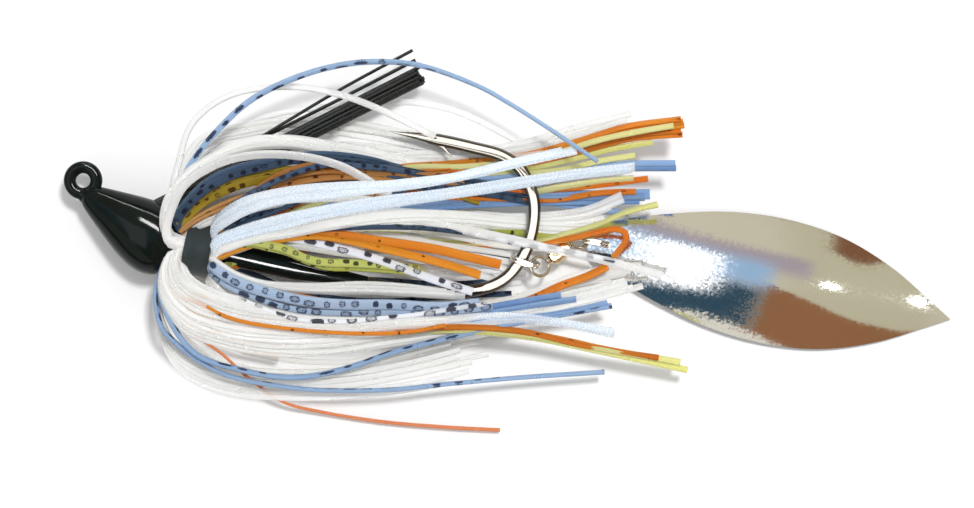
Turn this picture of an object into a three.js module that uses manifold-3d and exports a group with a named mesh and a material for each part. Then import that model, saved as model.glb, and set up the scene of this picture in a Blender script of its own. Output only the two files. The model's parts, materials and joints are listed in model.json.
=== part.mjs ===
// Skirted swim jig with a willow-leaf tail spinner, lying on its side.
// Millimetres. The hook bends in a level plane: +X runs from the line tie to the blade,
// +Y from the hook's shank to its point, +Z up from the surface that the lure lies on.
import * as THREE from 'three';
import { mergeVertices } from 'three/addons/utils/BufferGeometryUtils.js';
import Module from 'manifold-3d';

const wasm = await Module();
wasm.setup();

// ---- driving dimensions -------------------------------------------------------------------

const gap = 0.3;                  // clearance round a piece that another piece is cut for
const hookHeight = 5.6;           // level of the hook's plane above the surface
const wireRadius = 0.85;          // hook wire
const tieRingRadius = 2.0;        // line tie, to the middle of its wire

const headTilt = -34;             // degrees, the head's axis against +X
const headSquash = 0.95;          // the head is a little flatter across the hook's plane
const neckRadius = 2.3;

const shankTilt = -13.7;          // degrees, the straight shank against +X
const bandLength = 4.1;
const bandInner = 3.9;
const bandOuter = 4.55;

const keeperLength = 12.4;        // thick sleeve, up to the step that stops a trailer
const keeperRadius = 1.9;
const keeperNoseRadius = 1.35;    // thinner sleeve behind the step
const keeperNoseLength = 6.2;
const keeperTipRadius = 1.25;

const guardTilt = 26.8;           // degrees, the weed guard against +X
const guardLength = 47;
const guardRadius = 1.55;
const guardSocketDepth = 1.8;
const fibreRadius = 0.3;

const ringRadius = 2.1;           // split rings, to the middle of their wire
const ringWire = 0.5;             // two coils of this wire lie side by side
const eyeRadius = 1.45;           // swivel loops, to the middle of their wire
const eyeWireRadius = 0.25;
const barrelRadius = 1.3;

const bladeLength = 57;
const bladeHalfWidth = 9.64;
const bladeTilt = -12.2;          // degrees, the blade's axis against +X
const bladeDome = 3.7;
const bladeThickness = 0.6;
const bladeHoleRadius = 1.05;
const bladeHoleInset = 3.4;       // from the blade's blunt end to the middle of its hole

// ---- colours ------------------------------------------------------------------------------

const glossBlack = { color: 0x0b0d0c, roughness: 0.16, metalness: 0.1 };
const blackNickel = { color: 0x4a4640, roughness: 0.18, metalness: 1 };
const bandRubber = { color: 0x28332f, roughness: 0.7, metalness: 0 };
const nickel = { color: 0xd9d6cd, roughness: 0.1, metalness: 1 };
const brass = { color: 0xb99a5c, roughness: 0.25, metalness: 1 };
const nylon = { color: 0x101312, roughness: 0.3, metalness: 0 };
const pearl = { color: 0xe9ebe8, roughness: 0.4, metalness: 0 };
const skyBlue = { color: 0x86abd6, roughness: 0.4, metalness: 0 };
const glitter = { color: 0xb9cbe2, roughness: 0.35, metalness: 0.2 };
const orange = { color: 0xe0752a, roughness: 0.4, metalness: 0 };
const chartreuse = { color: 0xd9e06a, roughness: 0.4, metalness: 0 };
const smokyBlue = { color: 0x39475f, roughness: 0.4, metalness: 0 };

// ---- geometry helpers ---------------------------------------------------------------------

const vec = (x, y, z = 0) => new THREE.Vector3(x, y, z);
const inHookPlane = (x, y) => vec(x, y, hookHeight);
const radians = THREE.MathUtils.degToRad;
const level = (degrees) => vec(Math.cos(radians(degrees)), Math.sin(radians(degrees)));
const zUp = vec(0, 0, 1);
const yAxis = vec(0, 1, 0);
const along = (start, direction, distance) => start.clone().addScaledVector(direction, distance);

// Closed solid through rings of points, each ring counter-clockwise seen from the last one.
function loft(rings) {
  const sides = rings[0].length;
  const points = rings.flat();
  const index = [];
  for (let i = 0; i < rings.length - 1; i += 1) {
    for (let j = 0; j < sides; j += 1) {
      const a = i * sides + j;
      const b = i * sides + ((j + 1) % sides);
      index.push(a, b, a + sides, b, b + sides, a + sides);
    }
  }
  const first = points.length;
  const last = first + 1;
  const middle = (ring) => ring.reduce((sum, p) => sum.add(p), vec(0, 0)).divideScalar(sides);
  points.push(middle(rings[0]), middle(rings[rings.length - 1]));
  const lastRing = (rings.length - 1) * sides;
  for (let j = 0; j < sides; j += 1) {
    const next = (j + 1) % sides;
    index.push(first, next, j);
    index.push(last, lastRing + j, lastRing + next);
  }
  const geometry = new THREE.BufferGeometry().setFromPoints(points);
  geometry.setIndex(index);
  geometry.computeVertexNormals();
  return geometry;
}

// Solid along a curve. sizeAt gives its half width in the level plane and its half height.
function sweep(curve, steps, sides, sizeAt) {
  const rings = [];
  for (let i = 0; i <= steps; i += 1) {
    const t = i / steps;
    const centre = curve.getPointAt(t);
    const tangent = curve.getTangentAt(t);
    const side = zUp.clone().cross(tangent).normalize();
    const up = tangent.clone().cross(side);
    const [halfWidth, halfHeight] = sizeAt(t);
    const ring = [];
    for (let j = 0; j < sides; j += 1) {
      const angle = (2 * Math.PI * j) / sides;
      const point = along(centre, side, halfWidth * Math.cos(angle));
      ring.push(point.addScaledVector(up, halfHeight * Math.sin(angle)));
    }
    rings.push(ring);
  }
  return loft(rings);
}

const roundRod = (start, end, radius, sides = 12) =>
  sweep(new THREE.LineCurve3(start, end), 1, sides, () => [radius, radius]);

const lathe = (profile, segments = 24) =>
  new THREE.LatheGeometry(profile.map(([r, y]) => new THREE.Vector2(r, y)), segments);

function toSolid(geometry) {
  const bare = geometry.clone();
  bare.deleteAttribute('normal');
  bare.deleteAttribute('uv');
  const merged = mergeVertices(bare, 1e-5);
  return new wasm.Manifold(new wasm.Mesh({
    numProp: 3,
    vertProperties: new Float32Array(merged.attributes.position.array),
    triVerts: new Uint32Array(merged.index.array),
  }));
}

function toGeometry(solid) {
  const mesh = solid.getMesh();
  const geometry = new THREE.BufferGeometry();
  geometry.setAttribute('position', new THREE.BufferAttribute(mesh.vertProperties, 3));
  geometry.setIndex(new THREE.BufferAttribute(mesh.triVerts, 1));
  geometry.computeVertexNormals();
  return geometry;
}

function pointed(geometry, direction, origin) {
  const turn = new THREE.Quaternion().setFromUnitVectors(yAxis, direction);
  return geometry.clone().applyQuaternion(turn).translate(origin.x, origin.y, origin.z);
}

const lure = new THREE.Group();

function addPiece(parent, name, geometry, finish) {
  const mesh = new THREE.Mesh(geometry, new THREE.MeshStandardMaterial(finish));
  mesh.name = name;
  parent.add(mesh);
  return mesh;
}

// ---- hook ---------------------------------------------------------------------------------

const tieCentre = inHookPlane(-64.5, 9.1);
const bandCentre = inHookPlane(-46.7, -0.9);
const shankDirection = level(shankTilt);
const onShank = (distance) => along(bandCentre, shankDirection, distance);

const hookCurve = new THREE.CatmullRomCurve3([
  inHookPlane(-63.0, 7.5),
  inHookPlane(-59.6, 3.7),
  inHookPlane(-56.2, 1.3),
  onShank(-5.4),
  onShank(0),
  onShank(8),
  onShank(16),
  onShank(23.2),
  inHookPlane(-13.6, -7.7),
  inHookPlane(-6.1, -7.6),
  inHookPlane(-1.5, -6.2),
  inHookPlane(1.5, -3.1),
  inHookPlane(3.2, 0.9),
  inHookPlane(3.6, 5.9),
  inHookPlane(1.8, 10.5),
  inHookPlane(-0.9, 12.7),
  inHookPlane(-6.1, 14.2),
  inHookPlane(-11.1, 15.3),
  inHookPlane(-18.2, 16.5),
], false, 'centripetal');

const pointStart = 0.93;          // share of the wire where the point starts to taper
const pointRadius = 0.12;
const barbLine = new THREE.LineCurve3(inHookPlane(-12.9, 15.4), inHookPlane(-8.9, 12.7));
const barbRootSize = 0.7;
const barbTipSize = 0.1;
const barbFlatness = 0.6;

function hookRadius(t) {
  if (t < pointStart) return wireRadius;
  return THREE.MathUtils.mapLinear(t, pointStart, 1, wireRadius, pointRadius);
}

function makeHook() {
  const wire = sweep(hookCurve, 64, 10, (t) => [hookRadius(t), hookRadius(t)]);
  const tie = new THREE.TorusGeometry(tieRingRadius, wireRadius, 10, 24);
  tie.translate(tieCentre.x, tieCentre.y, tieCentre.z);
  const barb = sweep(barbLine, 1, 8, (t) => {
    const size = THREE.MathUtils.lerp(barbRootSize, barbTipSize, t);
    return [size, size * barbFlatness];
  });
  return toGeometry(toSolid(wire).add(toSolid(tie)).add(toSolid(barb)));
}

addPiece(lure, 'hook', makeHook(), blackNickel);

// ---- head, keeper and weed guard socket ---------------------------------------------------

const headDirection = level(headTilt);
const headApex = inHookPlane(-68.5, 10.1);
const guardDirection = level(guardTilt);
const guardMouth = inHookPlane(-52.6, 5.3);
const guardRoot = along(guardMouth, guardDirection, -guardSocketDepth);
const neckEnd = bandLength / 2 + 0.5;

const headProfile = [
  [0, 5.0], [1.5, 5.1], [2.0, 6.2], [3.5, 10.2], [4.75, 13.8], [5.35, 16.4], [5.45, 18.0],
  [5.1, 19.7], [4.2, 21.0], [3.0, 21.8], [0, 22.1],
];

function makeHead() {
  const body = pointed(lathe(headProfile, 28), headDirection, headApex);
  body.translate(0, 0, -hookHeight).scale(1, 1, headSquash).translate(0, 0, hookHeight);
  const neck = roundRod(onShank(-7), onShank(neckEnd), neckRadius, 16);
  const shankHole = sweep(hookCurve, 64, 10, () => [wireRadius + gap, wireRadius + gap]);
  const tieHole = new THREE.TorusGeometry(tieRingRadius, wireRadius + gap, 10, 24);
  tieHole.translate(tieCentre.x, tieCentre.y, tieCentre.z);
  const socketEnd = along(guardMouth, guardDirection, 8);
  const socket = roundRod(along(guardRoot, guardDirection, -gap), socketEnd, guardRadius + gap, 16);
  return toGeometry(
    toSolid(body).add(toSolid(neck)).subtract(toSolid(shankHole)).subtract(toSolid(tieHole))
      .subtract(toSolid(socket)),
  );
}

addPiece(lure, 'jig_head', makeHead(), glossBlack);

const keeperStart = bandLength / 2 + 1.1;
const keeperBore = wireRadius + 0.2;
const keeperEnd = keeperLength + keeperNoseLength;
const keeperBead = 0.15;          // a low bead runs round the sleeve's front end
const keeperProfile = [
  [keeperBore, 0], [keeperRadius, 0], [keeperRadius + keeperBead, 1.2], [keeperRadius, 2.4],
  [keeperRadius, keeperLength], [keeperNoseRadius, keeperLength], [keeperTipRadius, keeperEnd],
  [keeperBore, keeperEnd], [keeperBore, 0],
];
const keeper = addPiece(lure, 'bait_keeper', lathe(keeperProfile), glossBlack);
keeper.position.copy(onShank(keeperStart));
keeper.quaternion.setFromUnitVectors(yAxis, shankDirection);

// ---- skirt band and strand middles --------------------------------------------------------

const halfBand = bandLength / 2;
const bandLip = 0.35;             // length of the rounded lip at each end of the band
const bandLipDrop = 0.15;
const bandWaist = bandOuter - 0.1;
const bandEdge = bandOuter - bandLipDrop;
const bandProfile = [
  [bandInner, -halfBand], [bandEdge, -halfBand], [bandOuter, -halfBand + bandLip],
  [bandWaist, 0], [bandOuter, halfBand - bandLip], [bandEdge, halfBand],
  [bandInner, halfBand], [bandInner, -halfBand],
];
const middleInner = neckRadius + gap;
const middleOuter = bandInner - gap;
const middleHalf = halfBand + 0.3;
const middleProfile = [
  [middleInner, -middleHalf], [middleOuter, -middleHalf], [middleOuter, middleHalf],
  [middleInner, middleHalf], [middleInner, -middleHalf],
];
for (const [name, profile, finish] of [
  ['skirt_band', bandProfile, bandRubber],
  ['skirt_strand_middles', middleProfile, pearl],
]) {
  const sleeve = addPiece(lure, name, lathe(profile), finish);
  sleeve.position.copy(bandCentre);
  sleeve.quaternion.setFromUnitVectors(yAxis, shankDirection);
}

// ---- weed guard ---------------------------------------------------------------------------

const guard = new THREE.Group();
lure.add(guard);
const guardTip = along(guardRoot, guardDirection, guardLength);
const guardCurve = new THREE.LineCurve3(guardRoot, guardTip);
const guardTipWidth = 0.95;       // share of the root's size left at the tip
const guardTipHeight = 0.8;
const guardSize = (t) => [
  guardRadius * THREE.MathUtils.lerp(1, guardTipWidth, t),
  guardRadius * THREE.MathUtils.lerp(1, guardTipHeight, t),
];
addPiece(guard, 'weed_guard_fibres', sweep(guardCurve, 4, 12, guardSize), nylon);
const strayLift = 1.0;            // the stray fibre crosses over the edge fibre
const strayLevel = hookHeight + strayLift;
const strayFibres = [
  ['weed_guard_edge_fibre', inHookPlane(-40.5, 14.0), inHookPlane(-14.3, 27.3)],
  ['weed_guard_stray_fibre', vec(-37.6, 15.6, strayLevel), vec(-14.7, 28.7, strayLevel)],
];
for (const [name, start, end] of strayFibres) {
  addPiece(guard, name, roundRod(start, end, fibreRadius, 6), nylon);
}

// ---- skirt --------------------------------------------------------------------------------
// Each tuft is a plain envelope round one group of strands. The band is at its root; the front
// tufts fold back over the band like an umbrella, the rear ones run straight back.

const upperLevel = 11.2;          // tufts above the hook, weed guard and hook gap
const lowerLevel = 2.0;           // tufts under them, next to the surface
const tuftHalfHeight = { [upperLevel]: 1.9, [lowerLevel]: 1.6 };
const tuftRoot = 0.45;            // half size where the band pinches a tuft
const tuftOpenedBy = 0.3;         // share of a tuft's length where it has its full size

function addTuft(name, finish, route, halfWidth) {
  const points = route.map(([x, y, z]) => vec(x, y, z));
  const curve = new THREE.CatmullRomCurve3(points, false, 'centripetal');
  const endLevel = points[points.length - 1].z;
  const halfHeight = tuftHalfHeight[endLevel] ?? halfWidth;
  const size = (t) => {
    const opened = THREE.MathUtils.smoothstep(t, 0, tuftOpenedBy);
    return [
      THREE.MathUtils.lerp(tuftRoot, halfWidth, opened),
      THREE.MathUtils.lerp(tuftRoot, halfHeight, opened),
    ];
  };
  addPiece(lure, name, sweep(curve, 10, 8, size), finish);
}

const up = upperLevel;
const low = lowerLevel;
const tufts = [
  ['skirt_blue_arc', skyBlue, 1.8,
    [[-49.7, 4.2, 8.9], [-50.6, 10, 10.4], [-44, 18.5, up], [-30, 24.5, up], [-14, 24.5, up],
      [0, 20, up]]],
  ['skirt_pearl_crown', pearl, 2.4,
    [[-49, 1.9, 10.2], [-50.4, 4.6, 12.9], [-45, 12, up], [-32, 17.5, up], [-14, 17.8, up],
      [4, 12.5, up]]],
  ['skirt_smoky_rear', smokyBlue, 2.0,
    [[-43.2, 2, 8.6], [-38, 6, up], [-27, 10.2, up], [-12, 11.2, up], [2, 7, up]]],
  ['skirt_glitter_rear', glitter, 2.0,
    [[-43.4, -0.6, 10], [-37, 1.8, up], [-26, 5.2, up], [-10, 6.2, up], [1, 2.2, up]]],
  ['skirt_orange_rear', orange, 2.0,
    [[-43.6, -2.4, 9.5], [-37, -2.2, up], [-26, -0.2, up], [-10, 0.9, up], [-1, -2.6, up]]],
  ['skirt_flaked_rear', skyBlue, 1.9,
    [[-43.9, -4.2, 8.4], [-37, -6.9, up], [-26, -5.8, up], [-10, -4.6, up], [-2, -7.4, up]]],
  ['skirt_pearl_flank', pearl, 2.4,
    [[-49, -4.6, 8.6], [-49.4, -8.6, up], [-42, -12.6, up], [-26, -12, up], [-10, -10.2, up],
      [-2, -12.6, up]]],
  ['skirt_blue_flank', skyBlue, 2.2,
    [[-50, -5.9, 6.4], [-50.4, -11, 8.8], [-46, -17.5, 9.6], [-30, -18.8, 9.2], [-14, -17.4, 8.4],
      [0, -18, 7.6]]],
  ['skirt_pearl_outer', pearl, 2.4,
    [[-50.4, -6.2, 4.2], [-51.2, -13, 4.4], [-47, -21, 4.6], [-36, -24.4, 4.6], [-22, -24.6, 4.2],
      [-6, -23, 3.6]]],
  ['skirt_orange_outer', orange, 0.7,
    [[-50, -7.4, 1.5], [-50.6, -12, 1.1], [-46.5, -20, 1.1], [-39, -26.4, 1.1], [-28, -28.2, 1.1],
      [-2, -28.2, 1.1]]],
  ['skirt_pearl_under', pearl, 2.4,
    [[-49.8, -4.9, 2.3], [-49, -9, low], [-40, -15.4, low], [-26, -17.6, low], [-10, -16.4, low],
      [0, -17, low]]],
  ['skirt_smoky_under', smokyBlue, 2.3,
    [[-43.6, -4.2, 2.4], [-38, -7.4, low], [-26, -10.8, low], [-10, -9.8, low], [-1, -11, low]]],
  ['skirt_pearl_floor', pearl, 2.3,
    [[-43.3, -1.4, 1.2], [-37, -1.8, low], [-26, -4.2, low], [-10, -3.2, low], [-3, -4.6, low]]],
  ['skirt_chartreuse_under', chartreuse, 2.2,
    [[-43, 0.4, 1.4], [-37, 2.6, low], [-26, 2.4, low], [-10, 3, low], [0, 2, low]]],
  ['skirt_orange_under', orange, 2.2,
    [[-42.8, 2.4, 2.2], [-37, 7.6, low], [-26, 8.8, low], [-10, 9.2, low], [-1, 8.4, low]]],
  ['skirt_pearl_upper_under', pearl, 2.4,
    [[-48.4, 4.0, 1.9], [-47, 8.2, low], [-38, 13.6, low], [-24, 15, low], [-12, 15.4, low],
      [-4, 15, low]]],
];
for (const [name, finish, halfWidth, route] of tufts) {
  addTuft(name, finish, route, halfWidth);
}

// ---- swivel chain -------------------------------------------------------------------------

const ringOuter = ringRadius + ringWire / 2;
const ringInner = ringRadius - ringWire / 2;
const ringSide = ringWire + 0.025; // half the ring's width: one coil, and half the slit
const ringCorner = 0.14;
const ringProfile = [
  [ringInner, -ringSide + ringCorner], [ringInner + ringCorner, -ringSide],
  [ringOuter - ringCorner, -ringSide], [ringOuter, -ringSide + ringCorner],
  [ringOuter, ringSide - ringCorner], [ringOuter - ringCorner, ringSide],
  [ringInner + ringCorner, ringSide], [ringInner, ringSide - ringCorner],
  [ringInner, -ringSide + ringCorner],
];

// The hook ring stands across the wire, leaning back a little, and hangs on its lower right.
const hookRingLean = 10;
const hookRingHeading = -20;
const hookRingSlack = 0.62;       // from the hook's wire to the ring's middle
const wireInHookRing = inHookPlane(1.65, -2.85);
const hookRingPull = level(hookRingHeading);
const hookRingCentre = along(wireInHookRing, hookRingPull, hookRingSlack);
const hookRingNormal = level(hookRingHeading + 90)
  .multiplyScalar(Math.cos(radians(hookRingLean)))
  .addScaledVector(zUp, Math.sin(radians(hookRingLean)));

const bladeHeading = level(bladeTilt);
const bladeTipEnd = vec(67.4, -12.0);
const bladeBluntEnd = along(bladeTipEnd, bladeHeading, -bladeLength);
const bladeEndLevel = 0.68;       // the sharp end's middle surface, resting on the surface
const bladeHoleLevel = 1.85;
const bladeRingInset = 1.2;       // from the blade's blunt end to the ring's middle
const bladeRingLift = 0.95;       // the ring's middle above the hole
const bladeRingCentre = along(bladeBluntEnd, bladeHeading, bladeRingInset)
  .setZ(bladeHoleLevel + bladeRingLift);
const bladeRingNormal = level(bladeTilt + 90);

const frontEyeReach = 2.4;        // from the hook ring's middle to the front loop's
const rearEyeReach = eyeRadius + 1.03;
const rearEyeLift = 0.4;
const frontEyeCentre = along(hookRingCentre, hookRingPull, frontEyeReach);
const rearEyeCentre = along(bladeRingCentre, bladeHeading, -rearEyeReach);
rearEyeCentre.z += rearEyeLift;
const swivelAxis = rearEyeCentre.clone().sub(frontEyeCentre);
const swivelLength = swivelAxis.length();
swivelAxis.normalize();

for (const [name, centre, normal] of [
  ['hook_split_ring', hookRingCentre, hookRingNormal],
  ['blade_split_ring', bladeRingCentre, bladeRingNormal],
]) {
  const ring = addPiece(lure, name, lathe(ringProfile, 24), nickel);
  ring.position.copy(centre);
  ring.quaternion.setFromUnitVectors(yAxis, normal);
}

const eyeReach = eyeRadius + eyeWireRadius;
const eyeToBarrel = 0.25;
const barrelHalf = swivelLength / 2 - eyeReach - eyeToBarrel;
const barrelWall = 0.28;
const barrelMouth = 0.5;
const barrelCapRadius = 0.85;
const barrelCapLength = 0.55;
const barrelCapInner = 0.8;
const barrelChamberEnd = 0.7;     // the chamber narrows over this length at each end
const stemHeadRadius = 0.7;
const stemHeadThickness = 0.35;
const stemHeadPlay = 0.15;

// A loop of wire whose stem ends in a flat head held inside the barrel. Made pointing along +Y,
// with the loop's middle at the origin and the loop level when the piece is laid down.
function makeSwivelEye() {
  const loop = new THREE.TorusGeometry(eyeRadius, eyeWireRadius, 8, 20).rotateY(Math.PI / 2);
  const headAt = eyeReach + eyeToBarrel + barrelWall + stemHeadPlay;
  const stem = lathe([
    [0, eyeRadius], [eyeWireRadius, eyeRadius], [eyeWireRadius, headAt], [stemHeadRadius, headAt],
    [stemHeadRadius, headAt + stemHeadThickness], [0, headAt + stemHeadThickness],
  ], 12);
  return toGeometry(toSolid(loop).add(toSolid(stem)));
}

const barrelShoulder = barrelHalf - barrelCapLength;
const chamberRadius = barrelRadius - barrelWall;
const chamberHalf = barrelHalf - barrelChamberEnd;
const innerEnd = barrelHalf - barrelWall;
const barrelProfile = [
  [barrelMouth, -barrelHalf], [barrelCapRadius, -barrelHalf], [barrelRadius, -barrelShoulder],
  [barrelRadius, barrelShoulder], [barrelCapRadius, barrelHalf], [barrelMouth, barrelHalf],
  [barrelMouth, innerEnd], [barrelCapInner, innerEnd], [chamberRadius, chamberHalf],
  [chamberRadius, -chamberHalf], [barrelCapInner, -innerEnd], [barrelMouth, -innerEnd],
  [barrelMouth, -barrelHalf],
];

// Lays a piece made along +Y on a direction, keeping its X side pointing up.
function laidAlong(mesh, direction, position) {
  const across = zUp.clone().cross(direction).normalize();
  const upward = direction.clone().cross(across);
  mesh.quaternion.setFromRotationMatrix(
    new THREE.Matrix4().makeBasis(upward, direction, across),
  );
  mesh.position.copy(position);
}

const swivelEye = makeSwivelEye();
laidAlong(addPiece(lure, 'swivel_front_eye', swivelEye, brass), swivelAxis, frontEyeCentre);
const rearFacing = swivelAxis.clone().negate();
laidAlong(addPiece(lure, 'swivel_rear_eye', swivelEye, brass), rearFacing, rearEyeCentre);
const barrelCentre = along(frontEyeCentre, swivelAxis, swivelLength / 2);
laidAlong(addPiece(lure, 'swivel_barrel', lathe(barrelProfile, 20), brass), swivelAxis, barrelCentre);

// ---- blade --------------------------------------------------------------------------------

const bladeDomePower = 2.5;       // the dome fades faster than the outline towards the ends
const bladeEdge = new THREE.SplineCurve([
  [0, 0], [1.2, 2.5], [4.5, 4.24], [13.6, 7.3], [21.5, 9.1], [30, bladeHalfWidth],
  [38.5, 8.64], [46.7, 5.76], [53, 2.3], [bladeLength, 0],
].map(([x, y]) => new THREE.Vector2(x, y)));

// Two domed skins joined at a rim, with the hole drilled through near the blunt end.
function makeBlade() {
  const stations = 26;
  const columns = 8;
  const firstShare = 0.012;
  const lastShare = 0.994;
  const rings = [];
  for (let i = 0; i <= stations; i += 1) {
    const edge = bladeEdge.getPoint(THREE.MathUtils.lerp(firstShare, lastShare, i / stations));
    const dome = bladeDome * (edge.y / bladeHalfWidth) ** bladeDomePower;
    const ring = [];
    for (const side of [-0.5, 0.5]) {
      for (let j = 0; j <= columns; j += 1) {
        const across = side < 0 ? (2 * j) / columns - 1 : 1 - (2 * j) / columns;
        const height = dome * (1 - across * across) + side * bladeThickness;
        ring.push(vec(edge.x, across * edge.y, height));
      }
    }
    rings.push(ring);
  }
  const drill = roundRod(
    vec(bladeHoleInset, 0, -3), vec(bladeHoleInset, 0.001, 5), bladeHoleRadius, 20,
  );
  return toGeometry(toSolid(loft(rings)).subtract(toSolid(drill)));
}

const blade = addPiece(lure, 'willow_blade', makeBlade(), nickel);
const bladeSlope = Math.asin((bladeHoleLevel - bladeEndLevel) / (bladeLength - bladeHoleInset));
blade.rotation.set(0, bladeSlope, radians(bladeTilt), 'ZYX');
blade.position.copy(bladeBluntEnd);
blade.position.z = bladeEndLevel + bladeLength * Math.sin(bladeSlope);

// ---- origin and joint axes ----------------------------------------------------------------

// The origin goes to the middle of the lure's underside.
const bounds = new THREE.Box3().setFromObject(lure, true);
const origin = bounds.getCenter(vec(0, 0)).setZ(bounds.min.z);
lure.position.copy(origin).negate();

// Each joint turns about a wire that one piece hooks round, or about the swivel's own axis.
const hookWireHeading = level(hookRingHeading + 90);
const hookRingUpright = hookRingPull.clone().cross(hookRingNormal).negate();
const nearWireReach = Math.sqrt(ringRadius ** 2 - rearEyeLift ** 2);
const bladeRingNearWire = along(bladeRingCentre, bladeHeading, -nearWireReach);
const jointLines = {
  weed_guard_flex: [along(guardRoot, guardDirection, guardSocketDepth / 2), zUp],
  hook_ring_swing: [wireInHookRing, hookWireHeading],
  swivel_yaw: [along(hookRingCentre, hookRingPull, ringRadius), hookRingUpright],
  barrel_spin: [barrelCentre, swivelAxis],
  rear_eye_spin: [barrelCentre, swivelAxis],
  blade_ring_yaw: [bladeRingNearWire, zUp],
  blade_flap: [bladeRingCentre, bladeRingNormal],
};
lure.userData.joints = Object.fromEntries(
  Object.entries(jointLines).map(([name, [point, axis]]) => [
    name,
    { point: point.clone().sub(origin).toArray(), axis: axis.toArray() },
  ]),
);

export default lure;
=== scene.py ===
"""Skirted swim jig with a willow-leaf tail spinner, lying on a pale table, seen from above."""
import json
import math
import random

import bpy
import numpy as np
from mathutils import Matrix, Vector


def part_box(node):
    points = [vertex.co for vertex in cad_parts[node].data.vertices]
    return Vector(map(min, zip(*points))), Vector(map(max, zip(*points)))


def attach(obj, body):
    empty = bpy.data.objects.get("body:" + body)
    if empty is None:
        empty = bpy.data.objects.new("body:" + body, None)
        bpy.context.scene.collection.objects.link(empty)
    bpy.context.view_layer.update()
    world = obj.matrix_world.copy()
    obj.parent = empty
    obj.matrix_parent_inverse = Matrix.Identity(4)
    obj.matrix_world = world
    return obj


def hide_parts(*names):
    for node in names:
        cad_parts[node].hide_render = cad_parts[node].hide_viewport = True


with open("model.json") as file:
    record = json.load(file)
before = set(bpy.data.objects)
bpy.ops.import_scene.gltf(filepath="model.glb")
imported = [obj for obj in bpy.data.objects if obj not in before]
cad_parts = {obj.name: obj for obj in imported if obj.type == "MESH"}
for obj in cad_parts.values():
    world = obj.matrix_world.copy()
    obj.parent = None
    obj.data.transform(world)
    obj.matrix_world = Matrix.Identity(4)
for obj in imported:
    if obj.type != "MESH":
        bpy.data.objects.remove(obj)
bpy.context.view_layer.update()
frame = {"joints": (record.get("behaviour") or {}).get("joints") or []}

MM = 0.001
UP = Vector((0, 0, 1))
SEED = 7
STEPS_PER_SPAN = 24                # of a smooth curve, before it is cut into even steps
TINY = 1e-6

# ---- places taken from the frame ------------------------------------------------------------


def middle(node):
    low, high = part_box(node)
    return (Vector(low) + Vector(high)) / 2


joints = {j["name"]: j for j in frame["joints"]}


def joint_point(name):
    return Vector(joints[name]["pos_m"])


def joint_axis(name):
    return Vector(joints[name]["axis"]).normalized()


band_mid = middle("skirt_band")
shank = (middle("bait_keeper") - band_mid).normalized()
across = UP.cross(shank)
hook_level = band_mid.z / MM


def at(x, y, z=hook_level):
    """A point x mm towards the blade and y mm towards the hook point from the band, z mm up."""
    return Vector((band_mid.x + x * MM, band_mid.y + y * MM, z * MM))


def on_shank(distance):
    return band_mid + shank * distance * MM


def round_shank(distance, radius, angle):
    """A point round the shank: angle 0 is towards the hook point, 90 is up."""
    turn = math.radians(angle)
    side = across * math.cos(turn) + UP * math.sin(turn)
    return on_shank(distance) + side * radius * MM


# ---- mesh helpers ---------------------------------------------------------------------------


def smooth_route(points, spacing):
    """Centripetal Catmull-Rom curve through the points, as points spacing mm apart."""
    p = [np.array(v) for v in points]
    p = [2 * p[0] - p[1]] + p + [2 * p[-1] - p[-2]]
    fine = []
    for a, b, c, d in zip(p, p[1:], p[2:], p[3:]):
        spans = ((a, b), (b, c), (c, d))
        before, here, after = (max(np.linalg.norm(v - u), 1e-9) ** 0.5 for u, v in spans)
        start = ((b - a) / before - (c - a) / (before + here) + (c - b) / here) * here
        finish = ((c - b) / here - (d - b) / (here + after) + (d - c) / after) * here
        for t in np.linspace(0, 1, STEPS_PER_SPAN, endpoint=False):
            fine.append(
                (2 * t**3 - 3 * t**2 + 1) * b + (t**3 - 2 * t**2 + t) * start
                + (3 * t**2 - 2 * t**3) * c + (t**3 - t**2) * finish
            )
    fine.append(p[-2])
    fine = np.array(fine)
    length = np.concatenate([[0], np.cumsum(np.linalg.norm(np.diff(fine, axis=0), axis=1))])
    count = max(2, round(length[-1] / (spacing * MM)) + 1)
    at_length = np.linspace(0, length[-1], count)
    return np.stack([np.interp(at_length, length, fine[:, k]) for k in range(3)], axis=1)


def carried_frames(path, first_up=(0, 0, 1), closed=False):
    """Side and up vectors carried along a path without turning about it."""
    ahead = np.gradient(path, axis=0) if not closed else np.roll(path, -1, 0) - np.roll(path, 1, 0)
    ahead /= np.linalg.norm(ahead, axis=1)[:, None]
    up = np.array(first_up, float)
    frames = []
    for t in ahead:
        up = up - t * (up @ t)
        if np.linalg.norm(up) < TINY:
            up = np.cross(t, (1.0, 0.3, 0.2))
        up /= np.linalg.norm(up)
        frames.append((np.cross(up, t), up))
    return frames


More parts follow.
